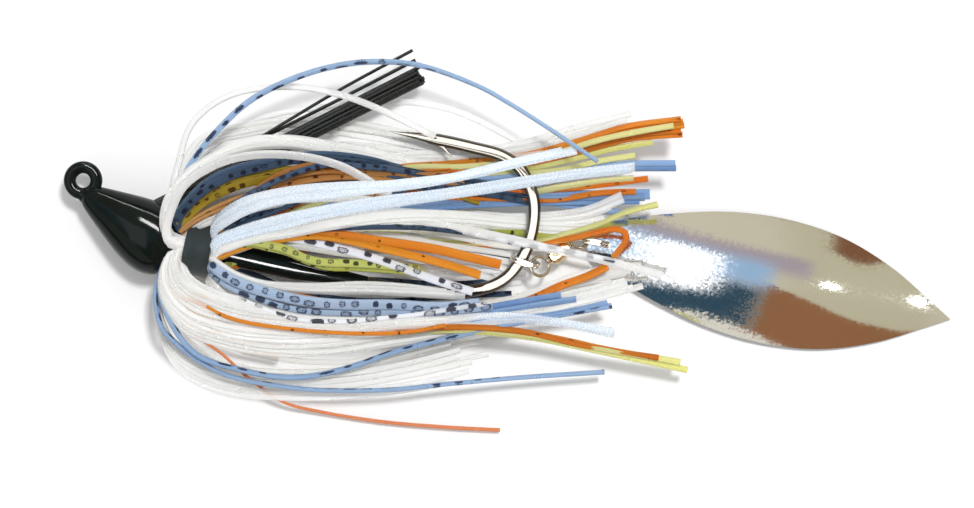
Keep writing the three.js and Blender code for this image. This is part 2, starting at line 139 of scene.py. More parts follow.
class Shell:
    """Collects swept solids into one mesh. UVs are mm along and mm across each sweep."""

    def __init__(self):
        self.points = []
        self.faces = []
        self.uvs = []

    def ring_faces(self, first, second, sides, u0, u1, v):
        for j in range(sides):
            k = (j + 1) % sides
            self.faces.append((first + j, first + k, second + k, second + j))
            self.uvs.append(((u0, v[j]), (u0, v[k]), (u1, v[k]), (u1, v[j])))

    def sweep(self, path, section, scale=None, twist=None, first_up=(0, 0, 1), closed=False, shift=0.0):
        """section is a list of (across, up) in mm, counter-clockwise seen against the path."""
        path = np.array([tuple(point) for point in path])
        sides = len(section)
        section = np.array(section)
        frames = carried_frames(path, first_up, closed)
        steps = len(path)
        base = len(self.points)
        travelled = shift
        starts = []
        for i, (point, (side, up)) in enumerate(zip(path, frames)):
            if i:
                travelled += float(np.linalg.norm(point - path[i - 1])) / MM
            share = i / (steps - 1)
            size = np.array(scale(share) if scale else (1.0, 1.0))
            turn = twist(share) if twist else 0.0
            c, s = math.cos(turn), math.sin(turn)
            starts.append(travelled)
            for x, y in section * size:
                flat = (x * c - y * s) * side + (x * s + y * c) * up
                self.points.append(tuple(point + flat * MM))
        v = [float(x) for x, _ in section]
        for i in range(steps - 1):
            self.ring_faces(base + i * sides, base + (i + 1) * sides, sides, starts[i], starts[i + 1], v)
        if closed:
            self.ring_faces(base + (steps - 1) * sides, base, sides, starts[-1], starts[-1] + 1, v)
            return
        for ring, order, u in ((0, -1, starts[0]), (steps - 1, 1, starts[-1])):
            corners = [base + ring * sides + j for j in range(sides)][::order]
            self.faces.append(tuple(corners))
            self.uvs.append(tuple((u, x) for x in v[::order]))

    def build(self, name, material, sharp=40):
        """The collected solids as one object, with edges over sharp degrees kept crisp."""
        mesh = bpy.data.meshes.new(name)
        mesh.from_pydata(self.points, [], self.faces)
        layer = mesh.uv_layers.new(name="UVMap")
        flat = [c for face in self.uvs for uv in face for c in uv]
        layer.data.foreach_set("uv", flat)
        return finish_mesh(mesh, name, material, sharp)


def finish_mesh(mesh, name, material, sharp=40):
    mesh.validate()
    mesh.polygons.foreach_set("use_smooth", [True] * len(mesh.polygons))
    mesh.set_sharp_from_angle(angle=math.radians(sharp))
    mesh.materials.append(material)
    piece = bpy.data.objects.new(name, mesh)
    bpy.context.scene.collection.objects.link(piece)
    return piece


def circle(radius, sides=16):
    return [
        (radius * math.cos(2 * math.pi * j / sides), radius * math.sin(2 * math.pi * j / sides))
        for j in range(sides)
    ]


def strip_section(width, thickness):
    """A flat strand's section with rounded edges."""
    half, thin = width / 2, thickness / 2
    return [
        (half, 0.0), (half * 0.86, thin * 0.8), (half * 0.45, thin), (-half * 0.45, thin),
        (-half * 0.86, thin * 0.8), (-half, 0.0), (-half * 0.86, -thin * 0.8), (-half * 0.45, -thin),
        (half * 0.45, -thin), (half * 0.86, -thin * 0.8),
    ]


def lathe(name, material, profile, origin, axis, segments=64, squash=1.0, sharp=35):
    """A solid of revolution. profile is (distance along the axis, radius) in mm."""
    axis = Vector(axis).normalized()
    side = axis.orthogonal().normalized() if abs(axis.z) > 0.99 else UP.cross(axis).normalized()
    up = axis.cross(side)
    points, faces, uvs, rings = [], [], [], []
    for distance, radius in profile:
        centre = origin + axis * distance * MM
        if radius < TINY:
            rings.append([len(points)])
            points.append(tuple(centre))
            continue
        rings.append(list(range(len(points), len(points) + segments)))
        for j in range(segments):
            turn = 2 * math.pi * j / segments
            offset = side * math.cos(turn) + up * math.sin(turn) * squash
            points.append(tuple(centre + offset * radius * MM))
    for (d0, _), (d1, _), low, high in zip(profile, profile[1:], rings, rings[1:]):
        for j in range(segments):
            k = (j + 1) % segments
            v = (j * 0.2, (j + 1) * 0.2)
            if len(low) == 1:
                faces.append((low[0], high[k], high[j]))
                uvs.append(((d0, v[0]), (d1, v[1]), (d1, v[0])))
            elif len(high) == 1:
                faces.append((low[j], low[k], high[0]))
                uvs.append(((d0, v[0]), (d0, v[1]), (d1, v[0])))
            else:
                faces.append((low[j], low[k], high[k], high[j]))
                uvs.append(((d0, v[0]), (d0, v[1]), (d1, v[1]), (d1, v[0])))
    mesh = bpy.data.meshes.new(name)
    mesh.from_pydata(points, [], [face[::-1] for face in faces])
    layer = mesh.uv_layers.new(name="UVMap")
    layer.data.foreach_set("uv", [c for face in uvs for uv in face[::-1] for c in uv])
    return finish_mesh(mesh, name, material, sharp)


def declare(piece, body, slot, *nodes):
    """The piece rides on a body and stands for the CAD nodes, which are hidden. slot is not used."""
    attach(piece, body)
    if nodes:
        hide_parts(*nodes)


# ---- material helpers -----------------------------------------------------------------------


class Graph:
    """Short ways to add nodes to a material or a world."""

    def __init__(self, owner):
        owner.use_nodes = True
        self.owner = owner
        self.tree = owner.node_tree
        self.shader = self.tree.nodes.get("Principled BSDF")

    def node(self, kind, inputs=(), **settings):
        made = self.tree.nodes.new(kind)
        for key, value in settings.items():
            setattr(made, key, value)
        for socket, value in dict(inputs).items():
            self.put(made.inputs[socket], value)
        return made

    def put(self, socket, value):
        if isinstance(value, bpy.types.NodeSocket):
            self.tree.links.new(value, socket)
        else:
            socket.default_value = value

    def math(self, operation, a, b=0.0, c=0.0):
        made = self.node("ShaderNodeMath", {0: a, 1: b, 2: c}, operation=operation)
        return made.outputs[0]

    def product(self, first, *others):
        for other in others:
            first = self.math("MULTIPLY", first, other)
        return first

    def centred(self, value, spread):
        """A value from 0 to 1 as one from -spread / 2 to spread / 2."""
        return self.math("MULTIPLY", self.math("SUBTRACT", value, 0.5), spread)

    def vector(self, operation, inputs):
        return self.node("ShaderNodeVectorMath", inputs, operation=operation).outputs["Vector"]

    def xyz(self, vector):
        return self.node("ShaderNodeSeparateXYZ", {"Vector": vector}).outputs

    def channels(self, colour):
        return self.node("ShaderNodeSeparateColor", {"Color": colour}).outputs

    def chance(self, number):
        """Outputs Value and Color, random but the same for the same number."""
        return self.node("ShaderNodeTexWhiteNoise", {"W": number}, noise_dimensions="1D").outputs

    def cells(self, place, scale):
        """A random colour for each Voronoi cell."""
        made = self.node("ShaderNodeTexVoronoi", {"Vector": place, "Scale": scale}, feature="F1")
        return made.outputs["Color"]

    def range(self, value, low, high, to_low=0.0, to_high=1.0):
        made = self.node(
            "ShaderNodeMapRange",
            {"Value": value, "From Min": low, "From Max": high, "To Min": to_low, "To Max": to_high},
        )
        return made.outputs["Result"]

    def mix(self, factor, a, b):
        made = self.node("ShaderNodeMix", data_type="RGBA")
        self.put(made.inputs[0], factor)
        self.put(made.inputs[6], a)
        self.put(made.inputs[7], b)
        return made.outputs[2]

    def object_place(self):
        return self.node("ShaderNodeTexCoord").outputs["Object"]

    def noise(self, scale, detail=2.0, place=None):
        inputs = {"Vector": place or self.object_place(), "Scale": scale, "Detail": detail}
        return self.node("ShaderNodeTexNoise", inputs).outputs["Fac"]

    def bump(self, height, strength, distance):
        made = self.node("ShaderNodeBump", {"Height": height, "Strength": strength, "Distance": distance})
        self.put(self.shader.inputs["Normal"], made.outputs["Normal"])

    def set(self, **values):
        for key, value in values.items():
            self.put(self.shader.inputs[key.replace("_", " ")], value)


def rgb(r, g, b):
    return (r, g, b, 1.0)


# ---- materials ------------------------------------------------------------------------------

STRAND_STEP = 1000.0              # UV offset between one strand and the next
FLECK_CORNERS = 2.6               # 2 makes an oval fleck, more a squarer one


def plain(name, dark, light, colour_grain, rough_grain, roughness, height_grain, bump, **more):
    """Colour, roughness and height drift with noise. A grain is (scale, detail) of the noise."""
    g = Graph(bpy.data.materials.new(name))
    g.set(
        Base_Color=g.mix(g.noise(*colour_grain), rgb(*dark), rgb(*light)),
        Roughness=g.range(g.noise(*rough_grain), 0.3, 0.7, *roughness),
        **more,
    )
    g.bump(g.noise(*height_grain), *bump)
    return g.owner


def plated_metal(name, dark, light, roughness, grain):
    return plain(
        name, dark, light, (grain, 3), (grain * 4, 3), roughness, (grain * 3, 2), (0.15, 0.00003),
        Metallic=1.0,
    )


def blade_nickel():
    """Polished plate whose blunt half is frosted with fine facets."""
    g = Graph(bpy.data.materials.new("blade_nickel"))
    place = g.object_place()
    facets = g.cells(place, 3400.0)
    spread = g.range(g.xyz(place)["X"], at(78, 0).x, at(92, 0).x, 0.055, 0.012)
    tilt = g.vector("SCALE", {0: g.vector("SUBTRACT", {0: facets, 1: (0.5, 0.5, 0.5)}), "Scale": spread})
    normal = g.vector("ADD", {0: g.node("ShaderNodeNewGeometry").outputs["Normal"], 1: tilt})
    g.set(
        Base_Color=g.mix(g.noise(60, 3), rgb(0.78, 0.76, 0.72), rgb(0.90, 0.89, 0.86)),
        Metallic=1.0,
        Roughness=g.range(g.channels(facets)["Red"], 0.0, 1.0, 0.05, 0.14),
        Normal=g.vector("NORMALIZE", {0: normal}),
    )
    return g.owner


def fleck_mask(g, uv, pitch, size, ringed, sparse, fade):
    """One fleck in every pitch mm of strand, at a random place and of a random length."""
    mm = g.xyz(uv)
    step = g.math("DIVIDE", mm["X"], pitch)
    number = g.math("FLOOR", step)
    rolls = g.channels(g.chance(number)["Color"])
    second = g.chance(g.math("ADD", number, 0.37))["Value"]
    along = g.math("SUBTRACT", g.math("SUBTRACT", g.math("FRACT", step), 0.5), g.centred(second, 0.4))
    across = g.math("SUBTRACT", mm["Y"], g.centred(rolls["Red"], 0.55))
    half_length = g.range(rolls["Green"], 0.0, 1.0, size[0] * 0.55, size[0] * 1.2)
    far = 0.0
    for distance, reach in ((g.math("MULTIPLY", along, pitch), half_length), (across, size[1])):
        share = g.math("ABSOLUTE", g.math("DIVIDE", distance, reach))
        far = g.math("ADD", far, g.math("POWER", share, FLECK_CORNERS))
    far = g.math("ADD", far, g.centred(g.noise(4.2, 2, place=uv), 2.4))
    core = g.math("MULTIPLY", g.range(far, 0.45, 0.15), g.math("LESS_THAN", second, ringed))
    present = g.math("GREATER_THAN", rolls["Blue"], sparse)
    mask = g.product(g.range(far, 1.15, 0.8), present, g.range(core, 0.0, 1.0, 0.94, 0.3))
    if fade:
        from_root = g.math("MODULO", mm["X"], STRAND_STEP)
        mask = g.math("MULTIPLY", mask, g.range(from_root, *fade, 1.0, 0.0))
    return mask


def silicone(name, low, high, flake=None, pitch=2.3, size=(0.6, 0.3), ringed=0.4, sparse=0.1,
             fade=None, sparkle=0.0, see=0.35):
    """Translucent silicone strand. The UVs hold mm along the strand, offset per strand.

    flake is the fleck colour, size its half length and half width in mm, ringed the share of
    flecks that show only a dark rim, sparse the share left out, fade the UVs between which they
    die out.
    """
    g = Graph(bpy.data.materials.new(name))
    uv = g.node("ShaderNodeUVMap", uv_map="UVMap").outputs["UV"]
    strand = g.math("FLOOR", g.math("DIVIDE", g.xyz(uv)["X"], STRAND_STEP))
    drift = g.noise(0.12, 2, place=uv)
    colour = g.mix(g.chance(strand)["Value"], rgb(*low), rgb(*high))
    colour = g.mix(g.range(drift, 0.35, 0.65, 0.0, 0.5), colour, rgb(*high))
    roughness = g.range(drift, 0.3, 0.7, 0.22, 0.38)
    if flake:
        colour = g.mix(fleck_mask(g, uv, pitch, size, ringed, sparse, fade), colour, rgb(*flake))
    if sparkle:
        bits = g.channels(g.cells(uv, 4.2))
        hue = g.mix(bits["Green"], rgb(0.72, 0.88, 1.0), rgb(1.0, 1.0, 1.0))
        colour = g.mix(g.math("MULTIPLY", g.range(bits["Red"], 0.55, 0.75), sparkle), colour, hue)
        roughness = g.range(bits["Blue"], 0.0, 1.0, 0.16, 0.36)
        g.bump(bits["Blue"], 0.18, 0.00008)
    else:
        g.bump(g.noise(1.6, 3, place=uv), 0.25, 0.00012)
    g.set(
        Base_Color=colour, Roughness=roughness, IOR=1.33,
        Subsurface_Weight=0.3, Subsurface_Scale=0.0012, Transmission_Weight=see,
        Coat_Weight=0.12, Coat_Roughness=0.15, Subsurface_Radius=(1.0, 1.0, 1.0),
    )
    return g.owner


BLACK = plain(
    "gloss_black_paint", (0.003, 0.005, 0.004), (0.008, 0.012, 0.010), (260, 3), (900, 2), (0.06, 0.14),
    (520, 2), (0.25, 0.00008), Specular_IOR_Level=0.12,
)
BLACK_NICKEL = plain(
    "black_nickel_wire", (0.12, 0.11, 0.095), (0.16, 0.148, 0.13), (300, 3), (1800, 3), (0.07, 0.2),
    (1500, 2), (0.15, 0.00003), Metallic=1.0,
)
RUBBER = plain(
    "band_rubber", (0.010, 0.017, 0.018), (0.022, 0.034, 0.034), (420, 4), (420, 4), (0.42, 0.62),
    (2600, 3), (0.35, 0.00004), Sheen_Weight=0.15,
)
NYLON = plain(
    "nylon_fibre", (0.006, 0.008, 0.007), (0.02, 0.022, 0.018), (500, 2), (500, 2), (0.16, 0.34),
    (1400, 2), (0.2, 0.00003),
)
RING_NICKEL = plated_metal("ring_nickel", (0.62, 0.59, 0.54), (0.8, 0.78, 0.73), (0.08, 0.2), 500)
SWIVEL_WIRE = plated_metal("swivel_wire", (0.52, 0.45, 0.32), (0.75, 0.7, 0.58), (0.12, 0.26), 600)
SWIVEL_BRASS = plated_metal("swivel_brass", (0.6, 0.47, 0.25), (0.8, 0.68, 0.42), (0.12, 0.28), 600)
BLADE_NICKEL = blade_nickel()

PEARL = silicone("pearl_silicone", (0.84, 0.84, 0.81), (0.97, 0.97, 0.96), see=0.5)
NAVY = (0.018, 0.032, 0.085)
ARC = silicone("blue_arc_silicone", (0.36, 0.53, 0.78), (0.42, 0.58, 0.82), flake=NAVY, pitch=3.3,
               size=(1.0, 0.3), ringed=0.1, fade=(94, 106))
SKY = silicone("sky_silicone", (0.32, 0.47, 0.74), (0.52, 0.66, 0.86), flake=NAVY, size=(0.75, 0.5),
               ringed=0.55)
DASHED = silicone("dashed_blue_silicone", (0.30, 0.46, 0.72), (0.4, 0.56, 0.8), flake=NAVY, pitch=3.2,
                  size=(1.0, 0.22), ringed=0.1, sparse=0.35)
PALE = silicone("pale_flaked_silicone", (0.72, 0.76, 0.84), (0.88, 0.9, 0.94), flake=(0.012, 0.016, 0.035),
                pitch=2.9, size=(0.85, 0.45), ringed=0.6)
PLAIN_BLUE = silicone("plain_blue_silicone", (0.17, 0.33, 0.66), (0.36, 0.54, 0.84))
GLITTER = silicone("glitter_silicone", (0.76, 0.85, 0.95), (0.90, 0.94, 0.98), sparkle=0.6, see=0.4)
ORANGE = silicone(
    "orange_silicone", (0.84, 0.15, 0.015), (0.92, 0.36, 0.03),
    flake=(0.12, 0.02, 0.005), pitch=5.5, size=(0.3, 0.2), sparse=0.5,
)
RUST = silicone("rust_silicone", (0.42, 0.14, 0.02), (0.66, 0.34, 0.12), flake=(0.1, 0.03, 0.01),
                pitch=3.7, size=(0.4, 0.3))
PINK_ORANGE = silicone("pale_orange_silicone", (0.84, 0.22, 0.08), (0.9, 0.32, 0.14))
GOLD = silicone("gold_silicone", (0.36, 0.22, 0.012), (0.52, 0.38, 0.04), flake=(0.06, 0.03, 0.005),
                pitch=1.9, size=(0.55, 0.4), ringed=0.3, sparse=0.3)
YELLOW = silicone("yellow_silicone", (0.86, 0.84, 0.26), (0.94, 0.93, 0.45))
LIME = silicone(
    "chartreuse_silicone", (0.48, 0.52, 0.09), (0.68, 0.72, 0.2),
    flake=(0.02, 0.035, 0.01), pitch=1.8, size=(0.45, 0.35), sparse=0.2,
)
SMOKY = silicone("smoky_silicone", (0.022, 0.045, 0.075), (0.07, 0.12, 0.20), flake=(0.01, 0.012, 0.03),
                 pitch=1.8, size=(0.5, 0.35), sparse=0.3, see=0.25)

# ---- hook -----------------------------------------------------------------------------------

WIRE = 0.93                       # radius
POINT_START = 0.93                # share of the wire before its taper to the point
BARB = 0.62                       # radius
TIE_RADIUS = 2.0
TIE = at(-17.8, 10.0)
HOOK_ROUTE = [at(-16.3, 8.4), at(-12.9, 4.6), at(-9.5, 2.2)]
HOOK_ROUTE += [on_shank(d) for d in (-5.4, 0, 8, 16, 23.2)]
HOOK_ROUTE += [
    at(x, y)
    for x, y in (
        (33.1, -6.8), (40.6, -6.7), (45.2, -5.3), (48.2, -2.2), (49.9, 1.8), (50.3, 6.8), (48.5, 11.4),
        (45.8, 13.6), (40.6, 15.1), (35.6, 16.2), (28.5, 17.4),
    )
]


def hook_taper(share):
    into_point = max(0.0, (share - POINT_START) / (1 - POINT_START))
    size = 1.0 - into_point * 0.97
    return size, size


def make_hook():
    shell = Shell()
    route = smooth_route(HOOK_ROUTE, 0.5)
    shell.sweep(route, circle(WIRE, 24), scale=hook_taper)
    barb = smooth_route([at(34.4, 16.2), at(36.2, 15.3), at(37.9, 13.5)], 0.3)
    shell.sweep(barb, circle(BARB, 12), scale=lambda s: (1.0 - 0.9 * s, 0.75 - 0.6 * s))
    return shell.build("hook_wire", BLACK_NICKEL)


def make_tie_ring():
    shell = Shell()
    turns = [2 * math.pi * i / 72 for i in range(72)]
    ring = [TIE + Vector((math.cos(a), math.sin(a), 0)) * TIE_RADIUS * MM for a in turns]
    shell.sweep(ring, circle(WIRE, 24), closed=True)
    corner = ((-18.3, 8.15), (-17.3, 7.55), (-16.2, 6.9), (-15, 6.1), (-13.4, 5))
    fillet = smooth_route([at(x, y) for x, y in corner], 0.25)
    shell.sweep(fillet, circle(1.0, 32), scale=lambda s: (0.9 + 1.35 * s, 0.9 + 1.2 * s))
    return shell.build("line_tie_ring", BLACK)


hook = make_hook()
declare(hook, "root", "black_nickel", "hook")
tie_ring = make_tie_ring()
declare(tie_ring, "root", "gloss_black")

# ---- head, neck and keeper ------------------------------------------------------------------

HEAD_TILT = math.radians(-34)
HEAD_AXIS = Vector((math.cos(HEAD_TILT), math.sin(HEAD_TILT), 0))
HEAD_APEX = at(-21.8, 11.0)
HEAD_PROFILE = [
    (4.9, 0), (4.98, 0.6), (5.2, 1.1), (5.6, 1.55), (6.2, 1.95), (7.4, 2.45), (9.0, 3.05), (10.6, 3.65),
    (12.2, 4.25), (13.8, 4.78), (15.2, 5.15), (16.6, 5.38), (18.0, 5.42), (19.2, 5.22), (20.3, 4.72),
    (21.1, 4.05), (21.7, 3.1), (22.0, 1.8), (22.1, 0),
]


def make_head():
    head = lathe("jig_head_paint", BLACK, HEAD_PROFILE, HEAD_APEX, HEAD_AXIS, squash=0.95, sharp=80)
    smooth = head.modifiers.new("smooth", "SUBSURF")
    smooth.levels = smooth.render_levels = 1
    return head


NECK = [(-6, 2.25), (2.4, 2.25), (2.5, 2.1), (2.55, 0)]
KEEPER_START = 3.15
KEEPER = [
    (0, 1.05), (0, 1.75), (0.25, 1.95), (1.2, 2.1), (2.2, 1.95), (3.0, 1.9), (11.9, 1.88), (12.6, 1.8),
    (14, 1.6), (16, 1.35), (18.5, 1.15), (22.4, 1.02), (22.6, 0.9),
]
head = make_head()
declare(head, "root", "gloss_black", "jig_head")
neck = lathe("head_neck", BLACK, NECK, band_mid, shank)
declare(neck, "root", "gloss_black")
keeper = lathe("bait_keeper_sleeve", BLACK, KEEPER, on_shank(KEEPER_START), shank)
declare(keeper, "root", "gloss_black", "bait_keeper")

# ---- skirt band -----------------------------------------------------------------------------

BAND = [
    (-1.7, 3.95), (-1.95, 4.05), (-2.05, 4.25), (-1.95, 4.45), (-1.6, 4.55), (-0.8, 4.5), (0, 4.46),
    (0.8, 4.5), (1.6, 4.55), (1.95, 4.45), (2.05, 4.25), (1.95, 4.05), (1.7, 3.95), (0, 3.9), (-1.7, 3.95),
]
band = lathe("skirt_band_rubber", RUBBER, BAND, band_mid, shank, sharp=70)
declare(band, "root", "band_rubber", "skirt_band")

# ---- weed guard -----------------------------------------------------------------------------

GUARD_TILT = math.radians(26.8)
GUARD_AXIS = Vector((math.cos(GUARD_TILT), math.sin(GUARD_TILT), 0))
GUARD_SIDE = UP.cross(GUARD_AXIS)
GUARD_ROOT = at(-5.9, 6.2) - GUARD_AXIS * 1.8 * MM
GUARD_LENGTH = 45.6
GUARD_FIBRE = 0.3                 # radius
GUARD_RINGS = ((0.0, 1), (0.58, 6), (1.14, 12))    # (radius, fibres)


def make_guard():
    dice = random.Random(SEED)
    shell = Shell()
    count = 0
    for ring, fibres in GUARD_RINGS:
        for k in range(fibres):
            turn = 2 * math.pi * (k + 0.3 * ring) / fibres
            offset = (GUARD_SIDE * math.cos(turn) + UP * math.sin(turn)) * ring * MM
            spread = 1.0 + 0.12 * dice.random()
            length = GUARD_LENGTH + dice.uniform(-0.7, 0.5)
            bow = UP * dice.uniform(-0.15, 0.15) * MM
            start = GUARD_ROOT + offset * 0.9
            end = GUARD_ROOT + GUARD_AXIS * length * MM + offset * spread
            route = smooth_route([start, (start + end) / 2 + bow, end], 3.0)
            shell.sweep(route, circle(GUARD_FIBRE, 12), shift=count * STRAND_STEP)
            count += 1
    strays = (
        ([at(6.2, 14.9), at(20, 21.8), at(32.4, 28.2)], 0.27),
        ([at(9.1, 16.5, 6.2), at(21, 23.6, 6.4), at(32.0, 29.6, 6.2)], 0.25),
    )
    for points, radius in strays:
        shell.sweep(smooth_route(points, 3.0), circle(radius, 10), shift=count * STRAND_STEP)
        count += 1
    return shell.build("weed_guard_fibre_bundle", NYLON)


guard = make_guard()
declare(
    guard, "weed_guard", "black_nylon",
    "weed_guard_fibres", "weed_guard_edge_fibre", "weed_guard_stray_fibre",
)

# ---- skirt ----------------------------------------------------------------------------------
# A family is a fan of strands between two routes. Routes are (x, y, z) in mm from the band's
# middle, z from the table. angles says where the first and last strand leave the band, round the
# shank; 'front' strands fold back over the band while 'rear' ones run straight. The hook lies
# 4.3 to 6.2 mm up, so strands near its bend run under 4 mm.

STRAND_SPACING = 0.9              # mm between the sections of a strand
STRAND_START = 40.0               # UV at a strand's root, within its own step
STRAND_FLOOR = 0.55               # lowest middle of a strand, over the table
FULL_TURN = 6.28
ROOT_PLACES = ((0.8, 3.25), (2.4, 3.55))           # (mm along the shank, radius)

skirt_dice = random.Random(SEED + 1)
strand_count = 0


def strand_root(side, angle):
    sign = -1 if side == "front" else 1
    return [round_shank(sign * distance, radius, angle) for distance, radius in ROOT_PLACES]


def add_strand(shell, side, angle, route, width, thickness, wander, trim):
    global strand_count
    dice = skirt_dice
    points = strand_root(side, angle)
    for k, (x, y, z) in enumerate(route):
        loose = wander * min(1.0, (k + 1) / 4)
        dx, dy, dz = (dice.uniform(-loose, loose) for _ in range(3))
        points.append(at(x + dx * 0.5, y + dy, max(STRAND_FLOOR, z + dz * 0.6)))
    path = smooth_route(points, STRAND_SPACING)
    cut = int(dice.uniform(0, trim) / STRAND_SPACING)
    if cut:
        path = path[:-cut]
    lean, swing = dice.uniform(-0.5, 0.5), dice.uniform(-0.8, 0.8)
    phase = dice.uniform(0, FULL_TURN)
    shell.sweep(
        path, strip_section(width * dice.uniform(0.88, 1.08), thickness),
        twist=lambda s: lean + swing * math.sin(2.5 * s + phase),
        shift=strand_count * STRAND_STEP + STRAND_START,
    )
    strand_count += 1


def add_family(shell, side, angles, first, last, count, width=1.0, thickness=0.58, wander=0.4, trim=3.0):
    """wander is how far points stray and trim how much may be cut off the end, in mm."""
    for i in range(count):
        share = (i + 0.5) / count if count > 1 else 0.5
        share = min(1.0, max(0.0, share + skirt_dice.uniform(-0.3, 0.3) / count))
        route = [tuple(a + (b - a) * share for a, b in zip(p, q)) for p, q in zip(first, last)]
        angle = angles[0] + (angles[1] - angles[0]) * share
        add_strand(shell, side, angle, route, width, thickness, wander, trim)


def skirt_piece(name, material, slot, nodes, families):
    shell = Shell()
    for family in families:
        add_family(shell, **family)
    piece = shell.build(name, material, sharp=60)
    piece.visible_shadow = material not in (PEARL, GLITTER, PALE)
    declare(piece, "root", slot, *nodes)


def fan(side, angles, first, last=None, count=1, **more):
    return dict(side=side, angles=angles, first=first, last=last or first, count=count, **more)


def lone(side, angle, route, wander=0.05, trim=0.1, **more):
    """A strand by itself, that keeps to its route."""
    return fan(side, (angle, angle), route, wander=wander, trim=trim, **more)


skirt_piece("skirt_pearl_crown_strands", PEARL, "pearl_silicone", ["skirt_pearl_crown"], [
    # the outermost thin arc, over the weed guard
    lone("front", 80,
        [(-4.2, 2.2, 9.4), (-4.2, 6, 9.8), (-2.7, 12.8, 9.8), (-1.2, 17.6, 9.8), (1.6, 20.8, 9.8),
         (6, 23, 9.6),
         (11.2, 23.8, 9.4), (15.9, 23.7, 9.2), (21.7, 22.6, 9), (26, 21, 8.6), (31.4, 18.5, 7.6),
         (35.4, 16.6, 7)], width=1.05, wander=0.08),
    # wide pale arcs low down, under the guard and the hook point
    fan("front", (20, 45),
        [(-4.2, 4.5, 6.5), (-3.2, 11, 5), (-0.3, 16.6, 3.2), (7.3, 18.9, 2.6), (15, 19.6, 2.4),
         (24, 18.6, 2.4),
         (33, 17.4, 2.4), (42, 15.2, 2.4), (50, 13, 2.4)],
        [(-4.2, 3.5, 6.5), (-3.2, 9, 5.4), (-0.3, 14.4, 3.6), (7, 17, 2.8), (15, 17.8, 2.6),
         (24, 16.8, 2.6),
         (33, 15.2, 2.6), (42, 12.6, 2.4), (50, 10, 2.4)], 5, width=1.05),
    # the pale arc from the hook point out to the tips
    lone("front", 15,
        [(-3.6, 5, 5.6), (-1, 12.6, 3), (8, 19.2, 1.9), (18, 21.2, 1.7), (27, 22, 1.7), (33.4, 21.8, 1.7),
         (39, 20.4, 1.8), (43.4, 18.5, 2), (47.6, 16.2, 2.2), (52, 14, 2.4)], width=1.0, wander=0.08),
    # a sheaf folded over the neck, across the guard's root, then down under the hook
    fan("front", (78, 100),
        [(-3.9, 1.2, 9.5), (-5.1, 3.6, 10), (-4.4, 7.4, 10.6), (-1.6, 11, 10.9), (2.6, 14, 10.6),
         (8, 16.1, 9.8), (13.4, 16.6, 9), (19, 15.6, 7), (25, 14.6, 4.4), (31, 13.4, 3.4), (40, 11.4, 3),
         (50, 9, 3)],
        [(-3.8, 0.6, 9.6), (-4.8, 2, 10.4), (-4.4, 5, 11), (-2.2, 8.6, 11.4), (1.6, 11.8, 11.2),
         (7, 14.2, 10.4),
         (13, 14.8, 9.6), (19, 13.8, 7.6), (25, 12.6, 5), (31, 11, 3.6), (40, 8.6, 3), (50, 7, 3)],
        6, width=1.15, wander=0.22),
    # the single bright strand that crosses over and dips under the glitter strands
    lone("front", 92,
        [(-3.9, 0.5, 9.8), (-4.5, 2.2, 10.8), (-3.4, 6, 12.2), (-1.4, 9.2, 13), (3.8, 12.4, 13.4),
         (9.7, 13.6, 13.4), (16, 13.3, 13), (21.2, 12, 12.4), (25.2, 10, 11.6),
         (28.6, 7.6, 10.6)], width=1.7),
])

skirt_piece("skirt_blue_arc_strand", ARC, "blue_silicone", ["skirt_blue_arc"], [
    lone("front", 45,
        [(-4.6, 2.8, 8.4), (-3.4, 7, 9), (-0.9, 12.4, 10), (4.2, 18.4, 11), (8.8, 22.2, 11.5),
         (16.2, 25.6, 11.5), (23.5, 27.3, 11), (30.2, 27.4, 10.5), (34.4, 26.7, 10), (42.2, 23.8, 9.5),
         (46.5, 21.4, 9.6), (52.6, 17.5, 10.6), (59.5, 12.6, 13)], width=1.05, wander=0.03),
])

skirt_piece("skirt_smoky_strands", SMOKY, "smoky_silicone", ["skirt_smoky_rear"], [
    # speckled teal strand hugging the bright one
    fan("front", (60, 66),
        [(-3, 4.4, 9.4), (-1.6, 6.6, 10.6), (0, 8.4, 11.3), (2.6, 10.3, 11.8), (6.1, 11.8, 12),
         (9.7, 12.6, 11.8), (14, 13.6, 11), (19, 14.1, 9.4), (25.2, 13.4, 6.6), (29.5, 12.2, 3.9),
         (36, 10.6, 3.3), (46, 8.6, 3.2)],
        [(-3, 3.6, 9.4), (-1.6, 5.6, 10.4), (0.4, 7.4, 11), (3, 9.2, 11.4), (6.5, 10.8, 11.5),
         (10, 11.6, 11.3), (14, 12.4, 10.6), (19, 12.6, 9), (25.2, 12, 6.6), (29.5, 11, 4.2),
         (36, 9.4, 3.5),
         (46, 7.4, 3.2)], 2, width=1.45, wander=0.1),
    # thin navy strand rising across the gold ones
    lone("rear", 75,
        [(3.1, 4.2, 10.6), (5.6, 6.2, 11.6), (8.2, 7.8, 12), (10.8, 9.2, 12.1), (13.4, 10.4, 12),
         (16.1, 11.4, 11.8), (19, 12.1, 11), (25, 12, 9), (30, 11.4, 6.5), (36, 10.4, 4.2),
         (44, 9.4, 3.6)], width=0.85, thickness=0.5, trim=3.0),
    # the dark sheaf between the gold strands and the hook
    fan("rear", (20, 60),
        [(6, 4.5, 8.2), (13, 8.4, 8.8), (21, 12, 8.2), (28, 12.4, 5.4), (36, 10.9, 3.8), (44, 9.4, 3.5),
         (51, 8.6, 3.5)],
        [(6, 3.2, 8), (13, 6, 8.6), (21, 8.8, 8.4), (28, 9.4, 7.4), (36, 8.6, 5.4), (44, 7.6, 3.9),
         (51, 6.4, 3.6)], 5, width=1.15),
    lone("rear", 80,
        [(8, 1.4, 9.6), (20, 2.6, 10.8), (33, 2.8, 9.6), (42, 1.8, 6), (48, 0.8, 3.6), (56, -0.9, 4.6),
         (62, -2.1, 6)], width=0.8, wander=0.15, trim=3.0),
])

